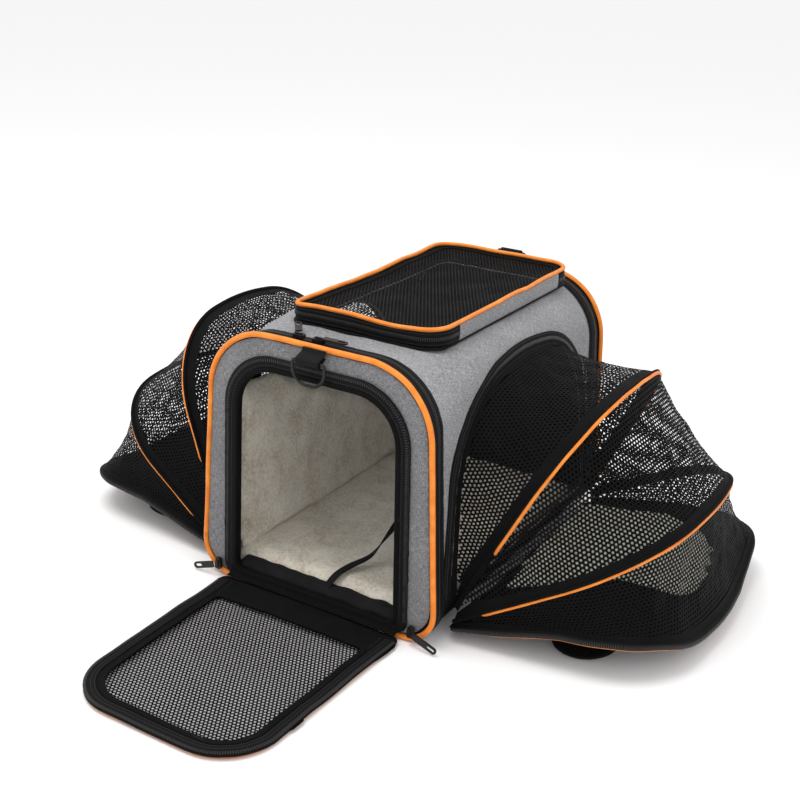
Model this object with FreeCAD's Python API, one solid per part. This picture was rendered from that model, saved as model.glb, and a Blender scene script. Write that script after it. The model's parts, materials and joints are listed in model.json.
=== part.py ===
"""Expandable soft pet carrier: zipped body, two fold-out mesh tents, drop-down door and roof lid."""
import FreeCAD
import Part
import math
import os

V = FreeCAD.Vector

# ---- driving dimensions, in millimetres ----
LENGTH = 440.0            # front piping to back piping
HALF_BASE = 153.0         # half width of the shell at the floor
HALF_TOP = 134.0          # half width that the sides would reach at the roof
HEIGHT = 306.0            # top of the shell
FABRIC = 5.0              # padded fabric wall
BASE_RADIUS = 38.0        # lower corners of the end outline
END_RADIUS = 75.0         # upper corners of the end outline
MID_RADIUS = 46.0         # shoulders between the ends
PIPING = 3.5              # radius of the corded piping on the ends
THIN_PIPING = 2.5         # radius of the piping on the lid and door
GAP = 0.3                 # clearance between pieces that move apart

SHELL_HALF = LENGTH / 2 - 6.0       # the shell's half length
BAND_WIDTH = 24.0                   # black zipped gusset behind each end
BAND_PROUD = 3.0
BAND_LOW = 6.0                      # the gusset's lower ends
END_RUN = 189.0                     # from here to each end the section stays the same
MID_RUN = 105.0                     # half length of the squarer middle
END_FACE = LENGTH / 2               # outer face of each end panel
FLOOR_SPLIT = 31.0                  # seam between the base tray and the sides
ROOF_SPLIT = 283.0                  # seam between the sides and the roof
SIDE_TILT = math.degrees(math.atan((HALF_BASE - HALF_TOP) / HEIGHT))

# side openings and the parts that fold out of them, as profiles (distance from hinge, along Y)
ARCH_HALF = 196.0         # half length at the hinge
ARCH_SHOULDER = (165.0, 236.0)      # corner of the arch before rounding
ARCH_CROWN = 255.0        # apex of the low dome between the shoulders, before rounding
ARCH_RADIUS = 140.0       # rounding of the shoulders
CROWN_RADIUS = 350.0
OPENING_BAND = 16.0       # zip tape around the opening
HINGE_Z = 33.0
HINGE_X = HALF_BASE - (HALF_BASE - HALF_TOP) * HINGE_Z / HEIGHT + 0.8
RIB_RADIUS = 3.2
RIB_1 = {"angle": 26.0, "stand_off": 6.2, "inset": 14.0, "rise": 20.0}
RIB_2 = {"angle": 60.0, "stand_off": 13.2, "inset": 4.0, "rise": 3.0}
RIB_FOOT = 5.0            # bare start of each hoop from the hinge
NET_INSET = 25.0
NET_THICK = 1.0
NET_FOOT = 8.0
NET_CLEAR = 5.0           # degrees left free beside a hoop
PANEL_FOOT = 3.0
PANEL_ANGLE = 86.0        # the open floor panel, its outer edge a little raised
HANDLE_ROOT = 10.0        # the handle's stitched ends, along Y
HANDLE_END = -152.0       # its bend
HANDLE_HANG = 3.7         # degrees that it hangs away from the panel
HANDLE_CENTRE = 134.0     # its middle, from the hinge
HANDLE_SPAN = 74.0
HANDLE_WIDTH = 25.0
HANDLE_THICK = 3.0
PANEL_INNER = 17.0        # panel's inner face from the hinge plane
PANEL_OUTER = 25.0
PANEL_RIM = 8.0           # zipped rim around the panel
RIM_REACH = 16.8          # how near the rim comes to the hinge plane
FLAP_INNER = 9.0          # top of the fleece flap on the right panel, from the hinge plane
FLAP_INSET = 30.0

# lining
LINING_HALF = 206.0       # half length of the mat and wing
LINING_GAP = 0.5          # between the lining and the shell
BOARD_HALF_WIDTH = 112.0
BOARD_HALF_LENGTH = 204.0
BOARD_BASE = FABRIC + 0.2
BOARD_THICK = 4.0
MAT_HALF_WIDTH = 144.0
MAT_BASE = BOARD_BASE + BOARD_THICK + 0.4
MAT_TOP = MAT_BASE + 19.0
WING_X = -134.0           # outer face of the wing
WING_THICK = 12.0
TETHER_WIDTH = 10.0
TETHER_THICK = 2.0

# front doorway and door
DOORWAY_HALF = 108.0
DOORWAY_TOP_HALF = 102.0
DOORWAY_SILL = 16.0
DOORWAY_TOP = 272.0
DOORWAY_CORNER = 52.0
DOORWAY_FOOT = 10.0       # radius of the lower corners
TAPE_WIDTH = 16.0
TAPE_CORNER = 66.0
TAPE_THICK = 1.8
DOOR_HALF = 120.0
DOOR_TOP_HALF = 112.0
DOOR_HINGE_Y = -LENGTH / 2 - 2.0
DOOR_HINGE_Z = 10.0
DOOR_START = 5.0          # from the hinge to the door's near edge
DOOR_REACH = 276.0        # from the hinge to the door's far edge
DOOR_THICK = 6.0
DOOR_CORNER = 62.0
DOOR_EDGE = 20.0          # width of the binding round the mesh
DOOR_LIP = 38.0           # plain strip along the hinge

# roof lid
LID_X = 14.0
LID_Y = 20.0
LID_WIDTH = 184.0
LID_LENGTH = 336.0
LID_RADIUS = 30.0
LID_WALL = 4.0
LID_FLOOR = HEIGHT + 2.4
LID_TOP = HEIGHT + 21.0
COLLAR_REACH = 3.0        # how far the tape on the roof shows outside the lid
ROOF_HOLE_INSET = LID_WALL + 6.0

# small hardware
RING_WIRE = 1.8
RING_WIDTH = 40.0
RING_DROP = 26.0
RING_Y = LENGTH / 2 + 12.5
FRONT_RING_Z = HEIGHT - 8.5
BACK_RING_Z = HEIGHT + 13.0
WEBBING = 2.2


def flat(u, v):
    """Identity map for outlines drawn in the XY plane."""
    return V(u, v, 0)


def cross(y):
    """Map (x, z) to the plane at this y."""
    return lambda u, v: V(u, y, v)


def rounded_path(corners, radii, place, closed=True):
    """Wire through the corners, rounded by tangent arcs; an open path keeps its two end points."""
    count = len(corners)
    points = [V(u, v, 0) for u, v in corners]
    stations = []
    for i, here in enumerate(points):
        if not closed and i in (0, count - 1):
            stations.append([place(here.x, here.y)] * 3)
            continue
        to_last = points[i - 1].sub(here).normalize()
        to_next = points[(i + 1) % count].sub(here).normalize()
        half_angle = to_last.getAngle(to_next) / 2
        run = radii[i] / math.tan(half_angle)
        depth = radii[i] / math.sin(half_angle) - radii[i]
        middle = here + to_last.add(to_next).normalize() * depth
        arc = [here + to_last * run, middle, here + to_next * run]
        stations.append([place(p.x, p.y) for p in arc])
    edges = []
    for i, (start, middle, end) in enumerate(stations):
        if start.distanceToPoint(end) > 1e-6:
            edges.append(Part.Arc(start, middle, end).toShape())
        if not closed and i == count - 1:
            break
        following = stations[(i + 1) % count][0]
        if end.distanceToPoint(following) > 1e-6:
            edges.append(Part.LineSegment(end, following).toShape())
    return Part.Wire(edges)


def outline(corners, radii, place):
    """Closed wire through the rounded corners."""
    return rounded_path(corners, radii, place)


def prism(wire, direction):
    return Part.Face(wire).extrude(direction)


def tube(path, radius):
    """Round tube along a tangent-continuous path."""
    edge = path.OrderedEdges[0]
    start = edge.valueAt(edge.FirstParameter)
    profile = Part.Wire(Part.makeCircle(radius, start, edge.tangentAt(edge.FirstParameter)))
    return path.makePipeShell([profile], True, True)


def trapezoid(half_low, half_high, low, high, radius_low, radius_high):
    """Corners and radii of a symmetric trapezoid with rounded corners."""
    corners = [(-half_low, low), (half_low, low), (half_high, high), (-half_high, high)]
    return corners, [radius_low, radius_low, radius_high, radius_high]


def body_outline(y, inset, top_radius, low=None):
    """Cross-section of the body at y, moved inwards by inset."""
    slope = (HALF_BASE - HALF_TOP) / HEIGHT
    low = inset if low is None else low
    high = HEIGHT - inset
    corners, radii = trapezoid(HALF_BASE - inset - slope * low, HALF_BASE - inset - slope * high,
                               low, high, BASE_RADIUS - inset, top_radius - inset)
    return outline(corners, radii, cross(y))


def body_loft(inset, half_length):
    """Solid body, tight at the ends and squarer in the middle."""
    stations = [(-half_length, END_RADIUS), (-END_RUN, END_RADIUS), (-MID_RUN, MID_RADIUS),
                (MID_RUN, MID_RADIUS), (END_RUN, END_RADIUS), (half_length, END_RADIUS)]
    return Part.makeLoft([body_outline(y, inset, radius) for y, radius in stations], True, True)


def end_ring(y, depth, outer_inset, inner_inset):
    outer = prism(body_outline(y, outer_inset, END_RADIUS), V(0, depth, 0))
    inner = prism(body_outline(y, inner_inset, END_RADIUS), V(0, depth, 0))
    return outer.cut(inner)


def block(low, high):
    size = V(*high).sub(V(*low))
    return Part.makeBox(size.x, size.y, size.z, V(*low))


def arch_corners(inset, foot, rise=0.0):
    """Foot, shoulder, crown, shoulder and foot of the arch, moved inwards; rise lifts the crown.

    The first number runs along Y and the second up from the hinge."""
    lean = (ARCH_HALF - ARCH_SHOULDER[0]) / ARCH_SHOULDER[1]
    dome = (ARCH_CROWN - ARCH_SHOULDER[1]) / ARCH_SHOULDER[0]
    half = ARCH_HALF - inset * math.hypot(1, lean)
    crown = ARCH_CROWN + rise - inset * math.hypot(1, dome)
    shoulder = (half - lean * crown) / (1 - lean * dome)
    half_foot = half - lean * foot
    return [(-half_foot, foot), (-shoulder, crown - dome * shoulder), (0, crown),
            (shoulder, crown - dome * shoulder), (half_foot, foot)]


def arch(inset, place, foot=0.0):
    """Closed arch profile of the side opening, moved inwards."""
    corner = ARCH_RADIUS - inset
    return outline(arch_corners(inset, foot), [3.0, corner, CROWN_RADIUS, corner, 3.0], place)


def fan_place(side, angle, stand_off):
    """Map (y, distance) into a plane that leans out from the side hinge by angle degrees."""
    lean = math.radians(angle)
    along = V(side * math.sin(lean), 0, math.cos(lean))
    outward = V(side * math.cos(lean), 0, -math.sin(lean))
    hinge = V(side * HINGE_X, 0, HINGE_Z)
    return lambda u, v: hinge + V(0, u, 0) + along * v + outward * stand_off


def fan_normal(side, angle):
    lean = math.radians(angle)
    return V(side * math.cos(lean), 0, -math.sin(lean))


# ---- the body ----

def make_body_shell():
    """Base tray, roof and two sides, cut from one padded shell."""
    shell = body_loft(0, SHELL_HALF).cut(body_loft(FABRIC, SHELL_HALF + 1))
    reach = LENGTH
    tray = shell.common(block((-reach, -reach, -1), (reach, reach, FLOOR_SPLIT)))
    roof = shell.common(block((-reach, -reach, ROOF_SPLIT), (reach, reach, HEIGHT + 1)))
    lid_hole = lid_outline(ROOF_HOLE_INSET, ROOF_SPLIT - 1)
    roof = roof.cut(prism(lid_hole, V(0, 0, HEIGHT)))
    sides = {}
    for name, side in (("left", -1), ("right", 1)):
        strip = shell.common(block((min(0, side * reach), -reach, FLOOR_SPLIT),
                                   (max(0, side * reach), reach, ROOF_SPLIT)))
        hole = prism(arch(OPENING_BAND, fan_place(side, -SIDE_TILT, 20.0), foot=6.0),
                     fan_normal(side, -SIDE_TILT) * -60.0)
        sides[name] = strip.cut(hole)
    return tray, roof, sides


def make_opening_tape(side):
    """Zip tape sewn flat around a side opening, up to the gussets at the ends."""
    outer = prism(arch(0, fan_place(side, -SIDE_TILT, 1.6)), fan_normal(side, -SIDE_TILT) * -40.0)
    inner = prism(arch(OPENING_BAND, fan_place(side, -SIDE_TILT, 20.0), foot=6.0),
                  fan_normal(side, -SIDE_TILT) * -80.0)
    tape = outer.cut(inner).cut(body_loft(0, SHELL_HALF))
    below = block((-LENGTH, -LENGTH, 0), (LENGTH, LENGTH, FLOOR_SPLIT + 2.0))
    return tape.cut([below, gusset_zone(-1), gusset_zone(1)])


def gusset_zone(end):
    """Everything between a zipped gusset's inner edge and the end of the bag."""
    start, stop = sorted((end * (SHELL_HALF - 0.4 - BAND_WIDTH), end * LENGTH))
    return block((-LENGTH, start, -1), (LENGTH, stop, LENGTH))


def doorway_outline(inset, y):
    """Outline of the doorway at y, moved inwards by inset."""
    corners, radii = trapezoid(DOORWAY_HALF - inset, DOORWAY_TOP_HALF - inset, DOORWAY_SILL + inset,
                               DOORWAY_TOP - inset, DOORWAY_FOOT, DOORWAY_CORNER)
    return outline(corners, radii, cross(y))


def make_end_panel(end):
    """Flat end face; end is -1 at the front, where the doorway is, and 1 at the back."""
    inner_face = end * SHELL_HALF
    depth = end * (END_FACE - SHELL_HALF)
    face = prism(body_outline(inner_face, 0, END_RADIUS, low=2 * PIPING + 0.4), V(0, depth, 0))
    return face.cut(prism(doorway_outline(0, inner_face), V(0, depth, 0))) if end < 0 else face


def make_doorway_tape():
    """Zip tape framing the doorway on the front end panel."""
    face, depth = -END_FACE, V(0, -TAPE_THICK, 0)
    corners, radii = trapezoid(DOORWAY_HALF + TAPE_WIDTH, DOORWAY_TOP_HALF + TAPE_WIDTH,
                               DOORWAY_SILL / 2, DOORWAY_TOP + TAPE_WIDTH, 14.0, TAPE_CORNER)
    outer = prism(outline(corners, radii, cross(face)), depth)
    return outer.cut(prism(doorway_outline(0, face), depth))


def make_end_piping(end):
    y = end * (SHELL_HALF + PIPING)
    off = PIPING + 0.1
    slope = (HALF_BASE - HALF_TOP) / HEIGHT
    low, high = off + 0.1, HEIGHT + off
    corners, radii = trapezoid(HALF_BASE + off - slope * low, HALF_BASE + off - slope * high,
                               low, high, BASE_RADIUS, END_RADIUS + off)
    return tube(outline(corners, radii, cross(y)), PIPING)


def make_end_band(end):
    """Zipped gusset wrapped over the shell beside the end piping, open underneath."""
    start = end * (SHELL_HALF - 0.4)
    ring = end_ring(start, -end * BAND_WIDTH, -BAND_PROUD, 0)
    return ring.common(block((-LENGTH, -LENGTH, BAND_LOW), (LENGTH, LENGTH, LENGTH)))


def make_base_board():
    """Stiffener that lies loose on the tray."""
    corners, radii = trapezoid(BOARD_HALF_WIDTH, BOARD_HALF_WIDTH, -BOARD_HALF_LENGTH, BOARD_HALF_LENGTH,
                               16.0, 16.0)
    return prism(outline(corners, radii, lambda u, v: V(u, v, BOARD_BASE)), V(0, 0, BOARD_THICK))


def make_fleece_mat():
    """Padded mat that fills the tray from side to side."""
    corners, radii = trapezoid(MAT_HALF_WIDTH, MAT_HALF_WIDTH, -LINING_HALF, LINING_HALF, 22.0, 22.0)
    mat = prism(outline(corners, radii, lambda u, v: V(u, v, MAT_BASE)), V(0, 0, MAT_TOP - MAT_BASE))
    return mat.common(body_loft(FABRIC + LINING_GAP, SHELL_HALF))


def make_fleece_wing():
    """Fleece side that stands inside the left opening, high at the front and low at the back."""
    foot = MAT_TOP + 1.4
    corners = [(-200.0, foot), (190.0, foot), (196.0, 78.0),
               (60.0, 150.0), (-120.0, 232.0), (-200.0, 236.0)]
    radii = [6.0, 6.0, 16.0, 40.0, 60.0, 20.0]
    wing = prism(outline(corners, radii, lambda u, v: V(WING_X, u, v)), V(WING_THICK, 0, 0))
    return wing.common(body_loft(FABRIC + LINING_GAP, SHELL_HALF))


def make_tether():
    """Flat strap sewn at the sill and at the foot of the right side, lying on the mat."""
    half = TETHER_WIDTH / 2
    centre = [(-4.0, -205.0), (4.0, -112.0), (46.0, -24.0), (120.0, 62.0)]
    left, right = [], []
    for i, point in enumerate(centre):
        before = V(*centre[max(i - 1, 0)], 0)
        after = V(*centre[min(i + 1, len(centre) - 1)], 0)
        across = V(0, 0, 1).cross(after.sub(before).normalize())
        left.append((point[0] + across.x * half, point[1] + across.y * half))
        right.append((point[0] - across.x * half, point[1] - across.y * half))
    corners = right + left[::-1]
    radii = [0.5, 60.0, 60.0, 0.5, 0.5, 60.0, 60.0, 0.5]
    return prism(outline(corners, radii, lambda u, v: V(u, v, MAT_TOP + 0.2)), V(0, 0, TETHER_THICK))


# ---- rings and their tabs ----

def make_ring(y, z):
    """D-ring hanging from its straight bar."""
    corners, radii = trapezoid(RING_WIDTH / 2, RING_WIDTH / 2, z - RING_DROP, z, 17.0, 3.0)
    return tube(outline(corners, radii, cross(y)), RING_WIRE)


def make_tab(end, ring_y, ring_z, foot_z, head_z):
    """Webbing sewn to the end panel and folded round the ring's bar."""
    half = 15.0
    hole = RING_WIRE + GAP
    loop = Part.makeCylinder(hole + WEBBING, 2 * half, V(-half, ring_y, ring_z), V(1, 0, 0))
    face = END_FACE + 2.0
    low_y, high_y = sorted((end * face, ring_y))
    arm_z = min(max(ring_z + hole, foot_z), head_z - WEBBING)
    arm = block((-half, low_y, arm_z), (half, high_y, arm_z + WEBBING))
    back_low, back_high = sorted((end * face, end * (face + WEBBING)))
    back = block((-half, back_low, foot_z), (half, back_high, head_z))
    bore = Part.makeCylinder(hole, 2 * half + 2, V(-half - 1, ring_y, ring_z), V(1, 0, 0))
    return loop.fuse([arm, back]).removeSplitter().cut(bore)


# ---- zip sliders ----

SLIDER_LENGTH = 14.0
SLIDER_WIDTH = 9.0
SLIDER_HEIGHT = 4.4
PULL_START = 5.8          # from the slider's middle to the pull's near end
PULL_LENGTH = 30.0
PULL_WIDTH = 8.0
PULL_THICK = 1.8


def slider_at(position, up, along):
    """Slider body with its bridge, seated on the tape at position."""
    corners, radii = trapezoid(SLIDER_WIDTH / 2, SLIDER_WIDTH / 2 - 1.5, -SLIDER_LENGTH / 2,
                               SLIDER_LENGTH / 2, 2.0, 2.0)
    base = prism(outline(corners, radii, flat), V(0, 0, SLIDER_HEIGHT))
    bridge = block((-1.2, -4.5, SLIDER_HEIGHT), (1.2, 4.5, SLIDER_HEIGHT + 1.6))
    return place_local(base.fuse(bridge).removeSplitter(), position, up, along)


def pull_at(position, up, pointing):
    """Flat pull with a finger hole, hinged beside the slider's bridge."""
    corners, radii = trapezoid(PULL_WIDTH / 2, PULL_WIDTH / 2, 0.0, PULL_LENGTH, 1.5, 3.9)
    plate = prism(outline(corners, radii, flat), V(0, 0, PULL_THICK))
    corners, radii = trapezoid(1.8, 1.8, PULL_LENGTH - 12.0, PULL_LENGTH - 2.4, 1.6, 1.7)
    plate = plate.cut(prism(outline(corners, radii, flat), V(0, 0, PULL_THICK)))
    plate.translate(V(0, PULL_START, SLIDER_HEIGHT + 0.4))
    return place_local(plate, position, up, pointing)


BAND_TOP = HEIGHT + BAND_PROUD + 0.1
BAND_Y = SHELL_HALF - BAND_WIDTH / 2
TAPE_FACE = -LENGTH / 2 - 1.9
LID_BACK = LID_Y + LID_LENGTH / 2 + 0.1
LID_MIDDLE_Z = (LID_FLOOR + LID_TOP) / 2
# name, seat, direction away from the tape, direction of travel, direction the pull points
SLIDERS = [
    ("door_right", (131.0, TAPE_FACE, 17.0), (0, -1, 0), (-0.03, 0, 1), (0.94, 0, -0.34)),
    ("door_left", (-131.0, TAPE_FACE, 17.0), (0, -1, 0), (0.03, 0, 1), (-0.94, 0, -0.34)),
    ("front_band_left", (-34.0, -BAND_Y, BAND_TOP), (0, 0, 1), (-1, 0, 0), (-0.6, 0.8, 0)),
    ("front_band_right", (-8.0, -BAND_Y, BAND_TOP), (0, 0, 1), (1, 0, 0), (1, 0, 0)),
    ("back_band", (-20.0, BAND_Y, BAND_TOP), (0, 0, 1), (1, 0, 0), (1, 0, 0)),
    ("lid", (LID_X + 52.0, LID_BACK, LID_MIDDLE_Z), (0, 1, 0), (-1, 0, 0), (-1, 0, 0)),
]


def place_local(shape, position, up, along):
    """Move a shape from local axes (Y along, Z up) to its place."""
    up = V(*up).normalize()
    along = V(*along).normalize()
    side = along.cross(up)
    matrix = FreeCAD.Matrix(side.x, along.x, up.x, position[0],
                            side.y, along.y, up.y, position[1],
                            side.z, along.z, up.z, position[2], 0, 0, 0, 1)
    moved = shape.copy()
    moved.Placement = FreeCAD.Placement(matrix).multiply(moved.Placement)
    return moved


# ---- roof lid ----

def lid_outline(inset, z):
    half_width = LID_WIDTH / 2 - inset
    half_length = LID_LENGTH / 2 - inset
    corners, radii = trapezoid(half_width, half_width, -half_length, half_length,
                               LID_RADIUS - inset, LID_RADIUS - inset)
    return outline(corners, radii, lambda u, v: V(LID_X + u, LID_Y + v, z))


def make_roof_collar():
    """Zip tape on the roof that the lid closes against."""
    depth = LID_FLOOR - HEIGHT - 0.5
    outer = prism(lid_outline(-COLLAR_REACH, HEIGHT), V(0, 0, depth))
    collar = outer.cut(prism(lid_outline(ROOF_HOLE_INSET, HEIGHT), V(0, 0, depth)))
    hinge_x = LID_X + LID_WIDTH / 2
    beyond_hinge = block((hinge_x - GAP, -LENGTH, HEIGHT - 1), (LENGTH, LENGTH, LENGTH))
    return collar.cut([beyond_hinge, gusset_zone(1)])


def make_lid():
    """Side wall, hinge strip, piping and mesh top of the lid."""
    height = LID_TOP - LID_FLOOR
    ring = prism(lid_outline(0, LID_FLOOR), V(0, 0, height)).cut(
        prism(lid_outline(LID_WALL, LID_FLOOR), V(0, 0, height)))
    hinge_x = LID_X + LID_WIDTH / 2 - LID_WALL
    hinge_half = LID_LENGTH / 2 - LID_RADIUS - 12.0
    strip_zone = block((hinge_x - 1, LID_Y - hinge_half, LID_FLOOR - 1),
                       (hinge_x + 20, LID_Y + hinge_half, LID_TOP + 1))
    strip = ring.common(strip_zone)
    wall = ring.cut(strip_zone)
    mesh = prism(lid_outline(LID_WALL, LID_TOP - 3.0), V(0, 0, 2.0))
    piping = tube(lid_outline(1.0, LID_TOP + THIN_PIPING + 0.1), THIN_PIPING)
    return {"lid_wall": wall, "lid_hinge_strip": strip, "lid_mesh": mesh, "lid_piping": piping}


# ---- front door, modelled open on the floor ----

def door_outline(inset, depth_below, near=None):
    """Outline of the door lying flat; depth_below is measured down from the hinge height."""
    near = DOOR_START + inset if near is None else near
    slope = (DOOR_HALF - DOOR_TOP_HALF) / (DOOR_REACH - DOOR_START)
    corners, radii = trapezoid(DOOR_HALF - inset - slope * near, DOOR_TOP_HALF - inset,
                               near, DOOR_REACH - inset, 8.0, DOOR_CORNER - inset)
    return outline(corners, radii, lambda u, v: V(u, DOOR_HINGE_Y - v, DOOR_HINGE_Z - depth_below))


def make_door():
    """Zipped binding with its plain lip, mesh, and piping on the outer face's edge."""
    top, bottom = 1.0, 1.0 + DOOR_THICK
    outer = prism(door_outline(0, top), V(0, 0, top - bottom))
    window = prism(door_outline(DOOR_EDGE, top, near=DOOR_START + DOOR_LIP), V(0, 0, top - bottom))
    binding = outer.cut(window)
    mesh = prism(door_outline(DOOR_EDGE, top + 2.0, near=DOOR_START + DOOR_LIP), V(0, 0, -2.0))
    piping = tube(door_outline(-THIN_PIPING - 0.1, bottom - THIN_PIPING - 0.1), THIN_PIPING)
    return {"door_binding": binding, "door_mesh": mesh, "door_piping": piping}


# ---- fold-out side tents, modelled open ----

def make_rib(side, rib):
    """Spring-wire hoop in its fabric casing."""
    corner = ARCH_RADIUS - rib["inset"]
    path = rounded_path(arch_corners(rib["inset"], RIB_FOOT, rib["rise"]),
                        [0, corner, CROWN_RADIUS, corner, 0],
                        fan_place(side, rib["angle"], rib["stand_off"]), closed=False)
    return tube(path, RIB_RADIUS)


def make_net(side, start_angle, end_angle):
    """Thin mesh gusset: an arched ribbon swept round the hinge between two angles."""
    outer = arch_corners(NET_INSET, NET_FOOT)
    inner = arch_corners(NET_INSET + NET_THICK, NET_FOOT)
    corner = ARCH_RADIUS - NET_INSET
    radii = [0.2, corner, CROWN_RADIUS, corner, 0.2]
    ribbon = outline(outer + inner[::-1], radii + radii, fan_place(side, start_angle, 0))
    hinge = V(side * HINGE_X, 0, HINGE_Z)
    return Part.Face(ribbon).revolve(hinge, V(0, side, 0), end_angle - start_angle)


def make_panel(side):
    """Stiffened floor panel and the zipped rim round three of its sides."""
    inner = fan_place(side, PANEL_ANGLE, PANEL_INNER)
    rim_start = fan_place(side, PANEL_ANGLE, RIM_REACH)
    outward = fan_normal(side, PANEL_ANGLE)
    board = prism(arch(PANEL_RIM, inner, foot=PANEL_FOOT), outward * (PANEL_OUTER - PANEL_INNER))
    depth = outward * (PANEL_OUTER - RIM_REACH)
    rim = prism(arch(0, rim_start, foot=PANEL_FOOT), depth).cut(
        prism(arch(PANEL_RIM, rim_start, foot=-PANEL_FOOT), depth))
    return board, rim


def make_flap():
    """The mat's right flap, a fleece pad laid on the right panel; its front edge runs aslant."""
    place = fan_place(1, PANEL_ANGLE, PANEL_INNER - 0.3)
    corners = [(-112.0, 8.0), (158.0, 8.0), (158.0, 216.0), (-16.0, 216.0), (-10.0, 140.0), (-52.0, 72.0)]
    radii = [6.0, 20.0, 40.0, 24.0, 60.0, 60.0]
    depth = fan_normal(1, PANEL_ANGLE) * (FLAP_INNER - PANEL_INNER + 0.3)
    flap = prism(outline(corners, radii, place), depth)
    return flap.common(prism(arch(FLAP_INSET, place, foot=8.0), depth))


def make_handle(side):
    """Webbing carry handle stitched to the panel's outer face, its bend hanging towards the front."""
    place = fan_place(side, PANEL_ANGLE, PANEL_OUTER + GAP)
    low, high = HANDLE_CENTRE - HANDLE_SPAN / 2, HANDLE_CENTRE + HANDLE_SPAN / 2
    outer = outline([(HANDLE_ROOT, low), (HANDLE_ROOT, high), (HANDLE_END, high), (HANDLE_END, low)],
                    [1.0, 1.0, 24.0, 24.0], place)
    low, high = low + HANDLE_WIDTH, high - HANDLE_WIDTH
    inner = outline([(HANDLE_ROOT + 1, low), (HANDLE_ROOT + 1, high),
                     (HANDLE_END + HANDLE_WIDTH, high), (HANDLE_END + HANDLE_WIDTH, low)],
                    [0.5, 0.5, 6.0, 6.0], place)
    depth = fan_normal(side, PANEL_ANGLE) * HANDLE_THICK
    strap = prism(outer, depth).cut(prism(inner, depth))
    root = place(HANDLE_ROOT, 0)
    strap.rotate(root, place(HANDLE_ROOT, 1) - root, side * HANDLE_HANG)
    return strap


# ---- the whole carrier ----

def build():
    parts = {}
    tray, roof, sides = make_body_shell()
    parts["bottom_tray"] = tray
    parts["roof_cover"] = roof
    parts["left_side"] = sides["left"]
    parts["right_side"] = sides["right"]
    parts["base_board"] = make_base_board()
    parts["fleece_mat"] = make_fleece_mat()
    parts["fleece_wing"] = make_fleece_wing()
    parts["tether_strap"] = make_tether()
    parts["roof_collar"] = make_roof_collar()
    for name, end in (("front", -1), ("back", 1)):
        parts[name + "_end_panel"] = make_end_panel(end)
        parts[name + "_piping"] = make_end_piping(end)
        parts[name + "_zip_band"] = make_end_band(end)
    parts["front_end_tape"] = make_doorway_tape()
    parts["right_fleece_flap"] = make_flap()
    parts["front_ring_tab"] = make_tab(-1, -RING_Y, FRONT_RING_Z, FRONT_RING_Z + 2, HEIGHT + 2)
    parts["front_d_ring"] = make_ring(-RING_Y, FRONT_RING_Z)
    parts["back_ring_tab"] = make_tab(1, RING_Y, BACK_RING_Z, HEIGHT - 20, BACK_RING_Z + 2)
    parts["back_d_ring"] = make_ring(RING_Y, BACK_RING_Z)
    for name, side in (("left", -1), ("right", 1)):
        parts[name + "_opening_tape"] = make_opening_tape(side)
        parts[name + "_rib_1"] = make_rib(side, RIB_1)
        parts[name + "_rib_2"] = make_rib(side, RIB_2)
        first, second = RIB_1["angle"], RIB_2["angle"]
        parts[name + "_net_inner"] = make_net(side, 1.0 - SIDE_TILT, first - NET_CLEAR)
        parts[name + "_net_middle"] = make_net(side, first + NET_CLEAR, second - NET_CLEAR)
        parts[name + "_net_outer"] = make_net(side, second + NET_CLEAR, PANEL_ANGLE)
        parts[name + "_floor_panel"], parts[name + "_panel_rim"] = make_panel(side)
        parts[name + "_handle"] = make_handle(side)
    parts.update(make_door())
    parts.update(make_lid())
    for name, position, up, along, pointing in SLIDERS:
        parts[name + "_slider"] = slider_at(position, up, along)
        parts[name + "_pull"] = pull_at(position, up, pointing)
    return parts


def main():
    os.makedirs("parts", exist_ok=True)
    for name, shape in build().items():
        shape.exportStep("parts/" + name + ".step")
        valid = "" if shape.isValid() else "  NOT VALID"
        print(f"{name:22s} solids {len(shape.Solids)}  volume {shape.Volume / 1000:9.2f} cm3{valid}")


main()
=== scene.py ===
"""Soft pet carrier with a door, a lid and two fold-out mesh tents."""
import json
import math
import bmesh
import bpy
import numpy as np
from mathutils import Matrix, Vector
from mathutils.geometry import delaunay_2d_cdt

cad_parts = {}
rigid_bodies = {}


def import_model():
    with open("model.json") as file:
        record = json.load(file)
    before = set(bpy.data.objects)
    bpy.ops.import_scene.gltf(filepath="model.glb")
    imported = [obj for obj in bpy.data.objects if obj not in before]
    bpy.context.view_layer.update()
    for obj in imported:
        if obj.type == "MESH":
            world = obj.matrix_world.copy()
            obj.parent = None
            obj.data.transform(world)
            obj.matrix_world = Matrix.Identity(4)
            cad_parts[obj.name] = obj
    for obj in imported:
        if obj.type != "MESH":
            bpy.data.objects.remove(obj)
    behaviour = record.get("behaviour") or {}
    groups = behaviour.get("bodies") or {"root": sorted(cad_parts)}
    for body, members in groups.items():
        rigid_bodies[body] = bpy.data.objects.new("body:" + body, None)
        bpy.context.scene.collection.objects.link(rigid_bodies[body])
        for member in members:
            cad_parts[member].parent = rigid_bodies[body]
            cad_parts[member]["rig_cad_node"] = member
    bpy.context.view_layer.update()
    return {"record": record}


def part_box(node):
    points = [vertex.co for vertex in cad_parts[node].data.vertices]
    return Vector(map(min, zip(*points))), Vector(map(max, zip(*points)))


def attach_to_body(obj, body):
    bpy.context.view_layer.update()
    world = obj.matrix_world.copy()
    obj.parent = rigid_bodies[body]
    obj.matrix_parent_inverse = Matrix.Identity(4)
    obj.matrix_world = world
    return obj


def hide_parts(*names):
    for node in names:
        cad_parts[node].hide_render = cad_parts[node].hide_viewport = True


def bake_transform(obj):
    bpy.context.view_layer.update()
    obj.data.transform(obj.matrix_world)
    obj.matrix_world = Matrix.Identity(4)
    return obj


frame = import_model()

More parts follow.
